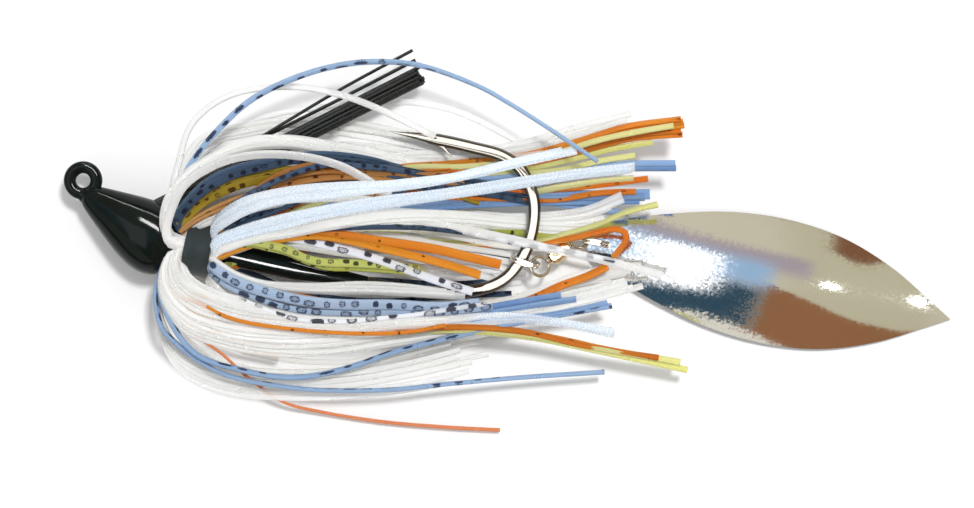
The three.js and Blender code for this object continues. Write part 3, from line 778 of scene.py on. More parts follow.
skirt_piece("skirt_glitter_strands", GLITTER, "glitter_silicone", ["skirt_glitter_rear"], [
    fan("rear", (58, 90),
        [(2.5, 3.2, 9.9), (3.8, 5, 11.2), (6.8, 6.9, 12.6), (10.8, 8, 13.4), (16, 8.7, 13.8), (21, 9, 13.8),
         (28, 9.2, 13.6), (36, 9.9, 13), (43, 11.6, 12.4), (48.6, 13.1, 11.8), (54, 14.2, 11.4)],
        [(2.6, 2, 10), (4.6, 3.4, 11.4), (8, 5, 12.8), (13, 6.4, 13.6), (19, 7.2, 14), (26, 8, 13.8),
         (34, 9.2, 13.4), (42, 11, 12.6), (48, 12.4, 12), (54, 13.6, 11.6), (57, 14.3, 11.4)],
        3, width=1.35, wander=0.18),
    fan("rear", (92, 112),
        [(2.8, 0.8, 10), (6, 2.4, 11.2), (11, 4, 12.8), (18, 5.6, 13.8), (26, 6.8, 14), (36, 8, 13.8),
         (46, 9.4, 13.2), (56, 11, 12.6), (66.4, 12.1, 12.2)],
        [(2.6, 0, 9.8), (7, 1.6, 11), (13.4, 3, 12.4), (19, 4.3, 13.2), (26.5, 5.6, 13.6), (36, 7.1, 13.6),
         (46, 8.7, 13), (56, 10.3, 12.4), (64.4, 11.4, 12)], 3, width=1.5, wander=0.12),
    fan("rear", (200, 215),
        [(8, -7, 6.5), (18, -11, 6.4), (30, -12.4, 6.4), (37.6, -12.6, 6.6), (45, -11.8, 6.8),
         (54.3, -11.8, 6.6), (62.5, -13.3, 6)],
        [(8, -6, 6.5), (18, -10, 6.4), (30, -11.4, 6.6), (37.6, -11, 6.8), (45, -9.8, 7), (53, -11, 6.8),
         (62, -12.7, 6.4)], 2, width=1.25, wander=0.1, trim=1),
])

skirt_piece("skirt_gold_strands", GOLD, "orange_silicone", [], [
    fan("front", (52, 60),
        [(-2.8, 3.4, 9), (-1.3, 5.8, 9.8), (1.6, 8.4, 10.3), (5.6, 10.4, 10.5), (9.6, 11.2, 10.3),
         (13.5, 11.4, 9.8), (20, 11.6, 8), (27, 10.6, 5.6), (34, 9.4, 3.8), (42, 7.4, 3.2)],
        [(-2.8, 2.8, 8.8), (-1.3, 4.6, 9.4), (1.6, 6.8, 9.9), (5.8, 8.8, 10.1), (10, 9.8, 9.9),
         (14.5, 10.2, 9.4), (21, 10.4, 7.6), (28, 9.6, 5.4), (35, 8.2, 3.8), (42, 6.2, 3.2)],
        3, width=1.5, wander=0.12),
])

skirt_piece("skirt_orange_strands", ORANGE, "orange_silicone", ["skirt_orange_rear", "skirt_orange_under"], [
    # the upper sheaf that fans out past the hook bend
    fan("rear", (20, 40),
        [(8, 4.5, 7.2), (16, 8, 7.2), (25, 11, 5.6), (31, 12.4, 3.8), (38, 12.9, 3.4), (46.6, 13.9, 3.2),
         (51, 14.3, 4.4), (57, 15.9, 7), (64, 17.9, 8.4), (72, 19.2, 9.4)],
        [(8, 3.5, 7), (16, 6.8, 7.2), (25, 9.6, 5.8), (31, 11, 4), (38, 11.6, 3.5), (46, 12.4, 3.4),
         (51, 12.9, 4.4), (58, 14.3, 7), (65, 15.9, 8.2),
         (73.5, 16.9, 9)], 5, width=1.05, wander=0.22, trim=2),
    # two under the blue tips
    fan("rear", (5, 15),
        [(10, 5, 5.6), (22, 8.2, 5), (36, 8.8, 3.8), (46, 8.8, 3.3), (52, 9.2, 4.2), (60, 10.2, 6.4),
         (68, 11.4, 7.4), (72.6, 12, 7.8)],
        [(10, 4, 5.6), (22, 6.6, 5), (36, 7.2, 3.8), (46, 7, 3.3), (54, 6.8, 4.6), (60, 7, 5.6),
         (66, 7.4, 6)],
        2, width=0.95),
    # below the glitter strands, crossing the flaked one
    fan("rear", (98, 110),
        [(7, 0.6, 9), (13, 1.9, 9.8), (17.3, 2.7, 10), (21.2, 2, 10), (26.5, 1.2, 9.6), (36, -0.1, 8.6),
         (42, -1.4, 7.6), (46, -2.2, 6.9)],
        [(7, 0, 8.8), (13, 1.1, 9.6), (18, 1.4, 9.8), (23, 0.6, 10.1), (28, -0.8, 10.2), (32, -2, 10),
         (37, -3.5, 8.6), (41, -5, 7.8)], 2, width=1.5, wander=0.08, trim=0.5),
    # the loop round the rear swivel eye
    lone("rear", 150,
        [(14, -0.5, 3.4), (35, 0, 3.2), (47, 0.4, 3.2), (53, 0.9, 4.4), (57, 1.5, 6), (60.4, 2.3, 7),
         (62.6, 2.6, 7.3), (64, 2, 7.4), (64.1, 0.9, 7.2), (63.3, -0.3, 6.8),
         (62.2, -1.6, 6.4)], width=1.1),
    # the broad one above the blade's left edge
    lone("rear", 185,
        [(12, -7, 5.4), (26, -9.5, 5.2), (38, -9.6, 5.2), (48, -8.6, 4.2), (54.5, -5.9, 4.6),
         (58.4, -4.4, 5.2),
         (61.4, -2.9, 5.8)], width=1.5),
    fan("rear", (200, 210),
        [(10, -8, 7), (24, -12, 7.2), (34, -12.2, 7.4), (40, -12, 7.2), (48, -12.6, 7), (56, -14.4, 6.6),
         (60, -15.2, 6.2), (69, -16.9, 5.6)], count=2, width=0.95, wander=0.18, trim=0.4),
    # thin folded ones edging the lower fan
    lone("front", 140,
        [(-4.2, -2.4, 9), (-5, -5.4, 9), (-3, -7.4, 9.2), (0.9, -8.8, 9.6), (3.5, -10.1, 9.8),
         (6.4, -11.1, 10),
         (10.8, -11.9, 10), (18.7, -12.7, 9.8), (26.5, -13, 9.4), (32, -12.7, 9),
         (37, -11.8, 8.6)], width=0.6, thickness=0.5, wander=0.06, trim=0.2),
    lone("front", 150,
        [(-4.4, -2.6, 8.4), (-4.2, -5.4, 8.8), (-2.6, -7, 8.8), (0.2, -7.4, 9.1), (2.4, -8.2, 8.4),
         (6, -10, 6)], width=0.7, thickness=0.5),
    lone("front", 160,
        [(-4.7, -3, 7.4), (-4.6, -7, 7), (-1.4, -9.6, 7.4), (1.3, -10.9, 8), (2.3, -12.3, 8), (5, -14.4, 6),
         (12, -16.4, 4.6)], width=0.6, thickness=0.5),
])

skirt_piece("skirt_rust_strands", RUST, "orange_silicone", [], [
    # brown-gold and orange strands above the band
    fan("rear", (62, 70),
        [(3.4, 3.8, 9.4), (6.8, 6.6, 10.2), (10, 9.6, 10.6), (14, 11.6, 10.6), (19, 12.4, 9.8),
         (24, 11.8, 8.4),
         (30, 10.8, 6.2), (38, 11.2, 3.8)],
        [(3.4, 2.8, 9.2), (7, 5, 9.8), (11, 7.4, 10.2), (15, 9.2, 10.2), (20, 10, 9.4), (26, 10, 8),
         (32, 9.4, 6), (40, 9.6, 3.9)], 3, width=1.15, wander=0.15),
])

skirt_piece("skirt_orange_outer_strand", PINK_ORANGE, "orange_silicone", ["skirt_orange_outer"], [
    lone("front", 190,
        [(-4.8, -3, 6), (-4.4, -8, 6.4), (-0.8, -13, 7), (3.6, -16.2, 7.4), (5.8, -18.4, 7),
         (8.6, -20.9, 5.4),
         (12.6, -23.8, 2.4), (17.9, -25.2, 1.2), (27, -26.7, 1), (37.6, -27.6, 1),
         (45.2, -28, 1)], width=0.55, thickness=0.45, wander=0.03),
])

skirt_piece("skirt_yellow_strands", YELLOW, "chartreuse_silicone", [], [
    fan("rear", (25, 35),
        [(10, 5, 6.6), (22, 8.8, 5.4), (30, 11.2, 3.9), (40, 11.8, 3.2), (48, 12.4, 3.4), (56, 14.6, 6),
         (64, 17, 7.8), (71.6, 18.3, 8.8)],
        [(10, 4, 6.6), (22, 7.6, 5.4), (30, 9.8, 3.9), (40, 10.4, 3.2), (48, 11, 3.4), (55, 11.6, 5.8),
         (60, 12.6, 7.4), (65, 13.4, 8)], 3, width=1.0, wander=0.15, trim=1),
    lone("rear", 10,
        [(10, 3.6, 5.6), (24, 6.6, 5), (38, 8, 3.6), (48, 8, 3.3), (55, 9.1, 5.4), (60, 9.8, 6.6),
         (65.2, 10.3, 7.2)], width=1.2),
    lone("rear", 165,
        [(14, 0, 3.2), (30, 1, 2.8), (42, 0.4, 2.9), (50, 0.7, 3.6), (55.4, 2, 4.6), (60, 3.4, 5.2),
         (64, 5.2, 5.2), (69, 6.4, 5.2)], width=1.1),
    fan("rear", (205, 215),
        [(10, -8, 6.4), (26, -12.6, 6.8), (40, -12.8, 7), (50, -13.9, 6.6), (60, -16, 6), (74, -19.1, 5)],
        [(10, -7.4, 6.4), (26, -12, 6.8), (40, -12.2, 7), (52, -13.5, 6.6), (62, -15.3, 6),
         (71.5, -16.7, 5.4)], 2, width=1.15, wander=0.1, trim=0.2),
])

skirt_piece("skirt_chartreuse_strands", LIME, "chartreuse_silicone", ["skirt_chartreuse_under"], [
    fan("rear", (118, 130),
        [(5, 0.2, 8.8), (7.5, 0.8, 9.6), (9.7, 0.5, 9.9), (12.9, -0.2, 10), (16.1, -1.6, 9.8),
         (18.7, -2.2, 9.6), (22.6, -2.3, 9.2), (27.8, -2.6, 8.8), (34, -3.4, 8.2)],
        [(5, -0.3, 8.4), (8, 0.2, 9.2), (10.6, -0.3, 9.4), (13.8, -1.2, 9.4), (17, -2.6, 9.2),
         (20, -3.4, 8.8), (24, -3.7, 8.4), (28, -3.9, 8), (34, -4.2, 7.8)], 2, width=1.25, wander=0.08),
    lone("rear", 150,
        [(14, 1.4, 4.6), (30, 2.6, 3.8), (42, 2.6, 3.2), (46.4, 2.4, 3), (50, 1.8, 3.2), (55, 1.4, 4.4),
         (58.6, 2.2, 5), (62, 3.4, 5.2)], width=1.15),
])

skirt_piece("skirt_blue_rear_strands", PLAIN_BLUE, "blue_silicone", [], [
    fan("rear", (10, 30),
        [(10, 4.5, 6.2), (24, 8.2, 5.2), (34, 10, 3.8), (44, 10.6, 3.3), (50, 11.2, 3.9), (58, 12, 6.4),
         (64, 12.6, 7.8), (71.4, 12.7, 8.4)],
        [(10, 3.6, 6.2), (24, 6.8, 5.2), (34, 8.6, 3.8), (44, 9.2, 3.3), (50, 9.8, 3.8), (58, 10.9, 6),
         (64, 11.4, 7.2), (71.6, 11.4, 7.8)], 2, width=1.15, wander=0.05, trim=0.2),
    fan("rear", (0, 10),
        [(10, 3, 5.6), (24, 6, 4.8), (36, 7.4, 3.6), (46, 7.8, 3.2), (54, 7.9, 4.4), (60, 7.9, 5.6),
         (68, 8.1, 6.4)],
        [(10, 2, 5.4), (24, 4.4, 4.6), (36, 6, 3.5), (46, 6.6, 3.1), (54, 6.7, 4), (60, 6.8, 5),
         (66, 6.9, 5.6)],
        3, width=1.5, wander=0.1, trim=0.4),
    lone("rear", 0,
        [(10, 2, 5.4), (24, 4.6, 4.6), (36, 6.4, 3.4), (46, 7, 3.1), (52, 6.7, 3.4), (58, 5.8, 4.2),
         (64.5, 5, 4.6)], width=0.9, trim=0.2),
    fan("rear", (185, 200),
        [(10, -6.6, 7), (22, -9.6, 7), (32, -9.9, 7), (40, -9, 6.8), (48, -8, 6.2), (55, -6.8, 5.6)],
        [(10, -7.4, 6.6), (24, -11, 6.6), (36, -11.6, 6.6), (47, -11.2, 6.6), (55, -10, 6.4),
         (63, -8.5, 6)],
        3, width=1.05, wander=0.2),
])

skirt_piece("skirt_flaked_strands", SKY, "blue_silicone", ["skirt_flaked_rear"], [
    fan("rear", (160, 172),
        [(1.9, -2.6, 9), (3.8, -4.1, 9.5), (6.8, -5.6, 9.8), (10.8, -6.9, 9.9), (16.1, -8.1, 9.8),
         (21.2, -8.6, 9.6), (29, -8.7, 9.2), (36, -9, 8.6), (42, -8.4, 7.8)],
        width=1.75, thickness=0.7, wander=0.05, trim=1),
    lone("rear", 178,
        [(1.9, -4, 8), (4, -5.6, 8.6), (8, -7.4, 9), (14.4, -9.4, 9), (21, -9.9, 8.8), (29, -9.8, 8.6),
         (36, -9.9, 8.2), (44, -9, 7.4)], width=1.1, trim=1),
])

skirt_piece("skirt_pale_flaked_strands", PALE, "blue_silicone", [], [
    # the one with ringed flakes under the glitter strands
    lone("rear", 112,
        [(6, 0.3, 8.8), (12.6, 1.3, 9.6), (17.9, 0.5, 9.8), (22.5, -0.6, 9.7), (28.5, -2.5, 9.3),
         (36, -5.2, 8.4), (41, -6.8, 7.8)], width=1.45, wander=0.04),
    fan("rear", (175, 190),
        [(6, -7.6, 8), (14.4, -10.8, 9.2), (18.7, -11.2, 9.5), (22.6, -11.2, 9.6), (26.5, -10.8, 9.5),
         (31.7, -10.3, 9.2), (37, -9.5, 8.8), (43, -8.6, 8)], width=0.8, wander=0.05),
    lone("rear", 95,
        [(12, 1.6, 8.8), (24, 3, 8.6), (36, 2.6, 7.4), (42, 1.7, 6.9), (47, 0.6, 7.1), (52, -0.2, 7.2),
         (57, -1.1, 7), (62.6, -2.2, 6.6)], width=0.85, wander=0.04),
])

skirt_piece("skirt_pearl_flank_strands", PEARL, "pearl_silicone", ["skirt_pearl_flank"], [
    # pale pair between the glitter strands and the keeper
    fan("rear", (112, 124),
        [(2.6, -0.7, 9.4), (5.4, 0.6, 10.2), (9, 1.7, 10.9), (13.4, 2.4, 11.6), (20, 3.8, 12),
         (30, 5.2, 10),
         (40, 5.2, 6.4), (46, 4.6, 3.8), (54, 4.2, 3.8), (62, 4.2, 4.4)],
        [(2.6, -1.1, 9.2), (5.6, 0.1, 9.9), (9.4, 1.1, 10.4), (14, 1.8, 10.8), (20, 2.8, 11), (30, 4, 9.4),
         (40, 3.8, 6.4), (46, 3.2, 3.9), (54, 2.6, 4), (62, 2.6, 4.6)], 2, width=1.6, wander=0.06, trim=1),
    # beige strands fanning under the orange ones
    fan("rear", (100, 118),
        [(8, 1, 8.4), (15, 1.8, 8.6), (22, 3.2, 8.4), (30, 3.6, 7.4), (38, 2.6, 6), (46, 1.4, 4),
         (54, 0.6, 4.4)],
        [(8, 0.2, 8.2), (15, -0.2, 8.4), (21, -1.4, 8.2), (27, -2.4, 8), (34, -3.8, 7), (40, -4.8, 6.4),
         (45, -6, 3.6)], 5, width=1.05, wander=0.2, trim=2),
    # the one that crosses over the hook bend to the blade
    lone("rear", 104,
        [(10, 1, 9), (20, 3.6, 9.2), (30, 4.4, 8.6), (38, 3, 7.8), (44, 1.7, 7.5), (48.2, 0.8, 7.5),
         (52.6, -0.3, 7.4), (58, -1.4, 7), (64, -2.8, 6.4), (69.6, -4.2, 5.8)], width=1.35, wander=0.03),
    # pale strands along the lower edge of the keeper
    fan("rear", (152, 158),
        [(1.8, -1.6, 9.3), (3.3, -2.5, 9.6), (5.8, -4.1, 9.7), (9.7, -5.3, 9.7), (13.4, -5.6, 9.6),
         (18.7, -5.5, 9.2), (24, -5.2, 8.6), (30, -5.6, 8), (36, -6.4, 7.4), (41, -7, 7)],
        [(1.8, -2, 8.6), (3.3, -3, 9), (6, -4.6, 9.2), (10, -6, 9.2), (14, -6.7, 9.1), (19, -7, 9),
         (26.5, -7.3, 8.6), (34, -7.6, 8), (41, -7.8, 7.2)], 3, width=1.15, wander=0.06, trim=1),
    # the sheaf below the flaked strands
    fan("rear", (182, 215),
        [(1.4, -4.3, 7.4), (4, -7.2, 8.2), (9, -9.2, 8.6), (16.4, -10.4, 8.6), (26, -10.6, 8.2),
         (38, -10.4, 7.4),
         (46, -9.4, 6.2), (54.3, -7.2, 5.4), (64, -5, 5.2)],
        [(1, -5.4, 5), (3.4, -9.4, 6), (9, -12, 6.6), (16.4, -13.4, 6.8), (28, -13.6, 6.6), (40, -12, 6.6),
         (50, -10.4, 6.2), (58, -8, 5.6), (67, -6, 5)], 6, width=1.0, wander=0.3),
    # strands through the swivel to the blade
    fan("rear", (195, 205),
        [(14, -8, 4), (30, -9.4, 3.4), (42, -8.6, 3), (50, -6.6, 2.6), (56, -4.4, 3.2), (62, -3, 4),
         (66.4, -2.4, 4.6)],
        [(14, -9, 3.8), (30, -10.6, 3.2), (42, -9.8, 2.8), (50, -8, 2.6), (56, -6.2, 3), (62, -4.8, 3.8),
         (67, -3.8, 4.4)], 4, width=1.0, wander=0.15),
    # the pale tips above the orange ones
    fan("rear", (35, 60),
        [(8, 5.6, 7.6), (16, 9.4, 7.6), (24, 12.6, 5.6), (30, 14.2, 3.6), (40, 14.6, 2.8), (48, 16, 3.6),
         (56, 18.1, 6), (65.8, 20.4, 8)],
        [(8, 5, 7.4), (16, 8.4, 7.4), (24, 11.4, 5.6), (30, 12.8, 3.7), (40, 13, 2.9), (48, 13.6, 3.8),
         (55, 14.8, 6), (64, 17.6, 8)], 4, width=1.0, wander=0.2, trim=2),
    fan("rear", (0, 20),
        [(8, 3, 6.2), (18, 5, 6), (30, 5.6, 4.8), (42, 5, 3.4), (50, 5, 3.6), (58, 6, 5.6),
         (64.6, 8.8, 7.8)],
        [(8, 1.4, 6), (18, 2.6, 5.8), (30, 3.2, 4.6), (42, 2.8, 3.2), (50, 2.8, 3.2), (58, 3.2, 4.2),
         (62, 3.6, 4.6)], 5, width=1.0, wander=0.2),
])

skirt_piece("skirt_pearl_outer_strands", PEARL, "pearl_silicone", ["skirt_pearl_outer"], [
    # folded down over the neck, then separate arcs
    fan("front", (98, 125),
        [(-2.9, -1.2, 9.6), (-3, -3.2, 9.7), (-1.6, -5.4, 9.4), (1.4, -7, 9.2), (7, -8.8, 9),
         (14, -10, 8.6),
         (22, -10.5, 8.2), (30, -10.6, 7.8), (38, -10.4, 7.4)],
        [(-3.7, -1.2, 9.6), (-4.4, -3.6, 9.8), (-3.6, -6.6, 9.8), (-0.4, -9.2, 9.8), (5, -11, 9.4),
         (12, -11.9, 9), (20, -12, 8.6), (28, -11.6, 8.2), (37, -11.2, 7.6)], 7, width=1.1, wander=0.15),
    fan("front", (110, 150),
        [(-3.9, -0.9, 9.6), (-4.9, -3, 9.8), (-4.4, -6, 10), (-1.6, -9.2, 10), (3, -11.2, 9.8),
         (10, -12.4, 9.4), (18, -12.3, 8.8), (27, -11.6, 8.2), (36, -11.4, 7.6)],
        [(-4.2, -1.4, 9), (-5.6, -4.4, 9), (-5.2, -8.6, 8.8), (-2.2, -12.8, 8.4), (3, -15, 8),
         (11, -16.4, 7.4),
         (20, -16.4, 6.8), (30, -15, 6.4), (40, -12.8, 6)], 6, width=1.05, wander=0.2),
    fan("front", (150, 205),
        [(-4.6, -2.2, 8), (-6, -6, 7.6), (-5.6, -11, 7.2), (-2.6, -15.4, 6.8), (3, -17.8, 6.4),
         (12, -18.8, 6), (22, -18.2, 5.6), (31, -16, 5.4), (41, -13.2, 5.2)],
        [(-5, -3, 5), (-6.4, -8, 4.8), (-5.9, -14, 4.6), (-3, -19.4, 4.4), (3, -22.4, 4.2), (12, -23.2, 4),
         (23, -23, 3.8), (34, -22, 3.8), (44, -20, 3.8)], 6, width=0.95, wander=0.22, trim=6),
])

skirt_piece("skirt_blue_flank_strands", DASHED, "blue_silicone", ["skirt_blue_flank"], [
    lone("front", 175,
        [(-5.1, -2.8, 7), (-6.5, -6.5, 7.6), (-5.6, -12, 8), (-3.4, -14.4, 8), (-0.9, -16.5, 7.8),
         (3, -18.8, 7.6),
         (6.4, -19.9, 7.2), (10.8, -20.8, 6.8), (16.1, -21.5, 6.4), (21.2, -21.7, 6), (29, -21.5, 5.6),
         (36, -20.9, 5.2), (48, -19.8, 4.6), (61, -19, 4)], width=1.0),
    lone("front", 165,
        [(-5.1, -2.4, 7.6), (-5.7, -7, 8.4), (-3.3, -12.6, 8.8), (-0.7, -15.8, 8.6), (2, -17.3, 8.4),
         (5.6, -18.3, 8), (10.8, -19.4, 7.6), (14.7, -19.6, 7.4), (18.7, -19.1, 7.2), (23.8, -17.7, 7.2),
         (29, -15.9, 7.2), (36, -14, 7.2), (46, -11.8, 6.8), (62, -8.9, 6.2)], width=0.9),
])

skirt_piece("skirt_under_strands", PEARL, "pearl_silicone",
            ["skirt_pearl_under", "skirt_pearl_floor", "skirt_pearl_upper_under"], [
    fan("front", (-50, -15),
        [(-4.6, 3, 3), (-3.6, 8, 2.6), (1, 12.6, 2.2), (10, 15.6, 1.9), (24, 15.8, 1.8), (38, 13.6, 1.8),
         (50, 11.4, 2)],
        [(-4.4, 2.4, 2.6), (-3, 6, 2.2), (2, 9, 2), (10, 11.2, 1.8), (24, 11.6, 1.8), (38, 9, 1.8),
         (50, 6.6, 2)], 5),
    fan("rear", (-60, -120),
        [(6, 2.4, 2), (14, 5.6, 1.8), (26, 6.6, 1.6), (38, 6, 1.8), (50, 4.6, 2)],
        [(6, -4, 2), (14, -7.6, 1.8), (26, -9.4, 1.6), (38, -8.6, 1.8), (50, -7.6, 2)], 9),
    fan("front", (-130, -160),
        [(-4.6, -3, 3.4), (-4.6, -7, 3), (-1, -11, 2.6), (8, -15, 2.2), (22, -16.4, 2), (36, -14.6, 2.2),
         (48, -12, 2.4)],
        [(-4.9, -3.6, 4), (-5.6, -9, 3.2), (-3.6, -15, 2.6), (4, -19.4, 2.4), (16, -21.4, 2.2),
         (30, -20.4, 2.2), (44, -17.6, 2.4)], 2),
])

skirt_piece("skirt_smoky_under_strands", SMOKY, "smoky_silicone", ["skirt_smoky_under"], [
    fan("rear", (-60, -140),
        [(6, 0, 2.4), (14, 2, 2.4), (26, 3, 2.2), (38, 2, 2.2), (48, 0, 2.2)],
        [(6, -4.6, 2.6), (14, -9.4, 2.6), (26, -11.6, 2.6), (38, -10.8, 2.4), (48, -9, 2.4)], 3, width=0.9),
])

# one yellow strand among the upper orange tips
skirt_piece("skirt_yellow_upper_strand", YELLOW, "chartreuse_silicone", [], [
    lone("rear", 30,
        [(10, 4.6, 6.8), (22, 8.4, 5.6), (30, 11.8, 4.1), (40, 12.2, 3.6), (48, 13, 3.8), (54, 14.2, 6.6),
         (60, 15.9, 9.2), (66, 17.2, 10), (71, 18, 10.2)], width=0.9, wander=0.03),
])

# strands inside the gold ones, close over the band
skirt_piece("skirt_rust_front_strands", RUST, "orange_silicone", [], [
    fan("front", (56, 64),
        [(-2.6, 2.4, 8.8), (-0.8, 4.2, 9.2), (2, 6, 9.6), (6, 7.8, 9.8), (10.4, 8.8, 9.6), (15, 9.2, 9),
         (22, 9.2, 7.4), (30, 8.2, 5.4)],
        [(-2.5, 1.9, 8.8), (-0.6, 3.3, 9.2), (2.4, 4.7, 9.5), (6.4, 6.2, 9.6), (11, 7.4, 9.4), (16, 8, 8.8),
         (23, 8, 7.2), (31, 7, 5.4)], 2, width=1.1, wander=0.05),
])

skirt_piece("skirt_pearl_inner_strands", PEARL, "pearl_silicone", [], [
    fan("front", (60, 68),
        [(-2.6, 2.1, 8.2), (-0.7, 3.8, 8.6), (2.2, 5.4, 9), (6.2, 7, 9.2), (10.7, 8.2, 9), (15.5, 8.6, 8.4),
         (22, 8.6, 7), (30, 7.6, 5)],
        [(-2.4, 1.6, 8), (-0.4, 2.8, 8.4), (2.8, 4, 8.8), (7, 5.2, 9), (11.6, 6.2, 8.8), (17, 7, 8.2),
         (24, 7, 6.8), (32, 6, 5)], 4, width=1.2, wander=0.05),
    # past the band's lower edge
    fan("front", (128, 140),
        [(-2.6, -2.6, 8.6), (-2.2, -4.6, 8.6), (-0.6, -6.2, 8.6), (2.2, -7.4, 8.6), (7, -8.6, 8.4),
         (14, -9.4, 8), (22, -9.8, 7.6), (30, -9.6, 7.2)],
        [(-2.2, -2.8, 8.2), (-1.2, -4.4, 8.2), (0.4, -5.6, 8.2), (3.2, -6.8, 8.2), (8, -8, 8),
         (15, -8.9, 7.6),
         (23, -9.3, 7.2), (31, -9.2, 7)], 4, width=1.15, wander=0.05),
])


MIDDLE_RINGS = ((2.75, 18), (3.4, 23))             # (radius, strands)
MIDDLE_RADIUS = 0.36
MIDDLE_PLACES = (-1.9, -1, 0, 1, 1.9)
RING_NUMBERS = 40                 # UV steps kept for each ring


def make_strand_middles():
    """The strands' middles, packed round the neck under the band."""
    shell = Shell()
    for ring, (radius, number) in enumerate(MIDDLE_RINGS):
        for k in range(number):
            angle = 360 * (k + 0.5 * ring) / number
            path = [round_shank(d, radius, angle) for d in MIDDLE_PLACES]
            shell.sweep(path, circle(MIDDLE_RADIUS, 8), shift=(ring * RING_NUMBERS + k) * STRAND_STEP)
    return shell.build("skirt_strand_middles_packed", PEARL)


middles = make_strand_middles()
declare(middles, "root", "pearl_silicone", "skirt_strand_middles")

# ---- split rings ----------------------------------------------------------------------------

RING_RADIUS = 2.1
RING_WIRE = 0.25                  # radius
RING_TURNS = 1.96
RING_START = 0.9                  # radians from the pull to the wire's first end
CROSSOVER = 26                    # steepness of the wire's step from one coil to the other


def make_split_ring(name, centre, normal, pull):
    """Two coils of wire side by side, with a gap in each where the ends meet the crossover."""
    side = normal.cross(pull).normalized()
    steps = 150
    points = []
    for i in range(steps + 1):
        share = i / steps
        angle = 2 * math.pi * RING_TURNS * share + RING_START
        lift = math.tanh((share - 0.5) * CROSSOVER) * (RING_WIRE + 0.012)
        spot = pull * math.cos(angle) + side * math.sin(angle)
        points.append(centre + spot * RING_RADIUS * MM + normal * lift * MM)
    shell = Shell()
    shell.sweep(points, circle(RING_WIRE, 14), first_up=tuple(normal))
    return shell.build(name, RING_NICKEL)


hook_ring_mid = middle("hook_split_ring")
hook_ring_upright = joint_axis("swivel_yaw")
hook_ring_pull = (joint_point("swivel_yaw") - hook_ring_mid).normalized()
hook_ring_normal = hook_ring_upright.cross(hook_ring_pull).normalized()
hook_ring = make_split_ring("hook_split_ring_coil", hook_ring_mid, hook_ring_normal, hook_ring_pull)
declare(hook_ring, "hook_ring", "nickel", "hook_split_ring")

blade_ring_mid = joint_point("blade_flap")
blade_ring_normal = joint_axis("blade_flap")
blade_dir = blade_ring_normal.cross(UP).normalized()
blade_ring = make_split_ring("blade_split_ring_coil", blade_ring_mid, blade_ring_normal, blade_dir)
declare(blade_ring, "blade_ring", "nickel", "blade_split_ring")

# ---- swivel ---------------------------------------------------------------------------------

EYE_RADIUS = 1.45
EYE_WIRE = 0.25                   # radius
EYE_OPENING = math.radians(24)    # half the gap where the wire leaves the loop
KNOT_TURNS = 2.6
KNOT_WIRE = 0.13                  # radius
FRONT_EYE_REACH = 2.4             # from the hook ring's middle to the loop's
REAR_EYE_REACH = 1.03             # from the blade ring's middle to the loop's near side
REAR_EYE_LIFT = 0.4
BARREL_GAP = 0.25                 # between a loop and the barrel's end
swivel_axis = joint_axis("barrel_spin")
barrel_mid = middle("swivel_barrel")
swivel_side = UP.cross(swivel_axis).normalized()


def make_swivel_eye(name, loop_mid, facing):
    """A wire loop, a knot round its stem and a flat head inside the barrel's cap."""
    stem_axis = swivel_axis * facing

    def on_stem(*distances):
        return [loop_mid + stem_axis * d * MM for d in distances]

    shell = Shell()
    steps = 56
    loop = []
    for i in range(steps + 1):
        angle = EYE_OPENING + 2 * (math.pi - EYE_OPENING) * i / steps
        spot = stem_axis * math.cos(angle) + swivel_side * math.sin(angle)
        loop.append(loop_mid + spot * EYE_RADIUS * MM)
    shell.sweep(loop, circle(EYE_WIRE, 12))
    stem = on_stem(EYE_RADIUS - 0.25, EYE_RADIUS + 0.6, EYE_RADIUS + 1.1)
    shell.sweep(stem, circle(EYE_WIRE + 0.02, 12))
    knot_steps = 60
    knot = []
    for i in range(knot_steps + 1):
        share = i / knot_steps
        angle = 2 * math.pi * KNOT_TURNS * share
        spot = swivel_side * math.cos(angle) + stem_axis.cross(swivel_side) * math.sin(angle)
        along = EYE_RADIUS - 0.12 + 0.42 * share
        knot.append(loop_mid + stem_axis * along * MM + spot * (EYE_WIRE + 0.12) * MM)
    shell.sweep(knot, circle(KNOT_WIRE, 8), first_up=tuple(stem_axis))
    shell.sweep(on_stem(EYE_RADIUS + 0.93, EYE_RADIUS + 1.28), circle(0.7, 20))
    return shell.build(name, SWIVEL_WIRE)


front_eye_mid = hook_ring_mid + hook_ring_pull * FRONT_EYE_REACH * MM
rear_eye_mid = blade_ring_mid - blade_dir * (REAR_EYE_REACH + EYE_RADIUS) * MM + UP * REAR_EYE_LIFT * MM
for end, centre, facing in (("front", front_eye_mid, 1), ("rear", rear_eye_mid, -1)):
    eye = make_swivel_eye(f"swivel_{end}_loop", centre, facing)
    declare(eye, f"{end}_eye", "swivel_wire", f"swivel_{end}_eye")

barrel_half = (rear_eye_mid - front_eye_mid).length / MM / 2 - EYE_RADIUS - EYE_WIRE - BARREL_GAP
BARREL_OUTSIDE = [
    (-barrel_half, 0.5), (-barrel_half, 0.8), (-barrel_half + 0.1, 0.92), (-barrel_half + 0.35, 1.05),
    (-barrel_half + 0.5, 1.08), (-barrel_half + 0.58, 1.27), (-0.5, 1.3), (-0.42, 1.2), (-0.3, 1.2),
    (-0.22, 1.3),
]
BARREL_INSIDE = [(-barrel_half + 0.7, 1.0), (-barrel_half + 0.28, 0.85), (-barrel_half + 0.28, 0.5)]


def mirrored(profile):
    return [(-distance, radius) for distance, radius in reversed(profile)]


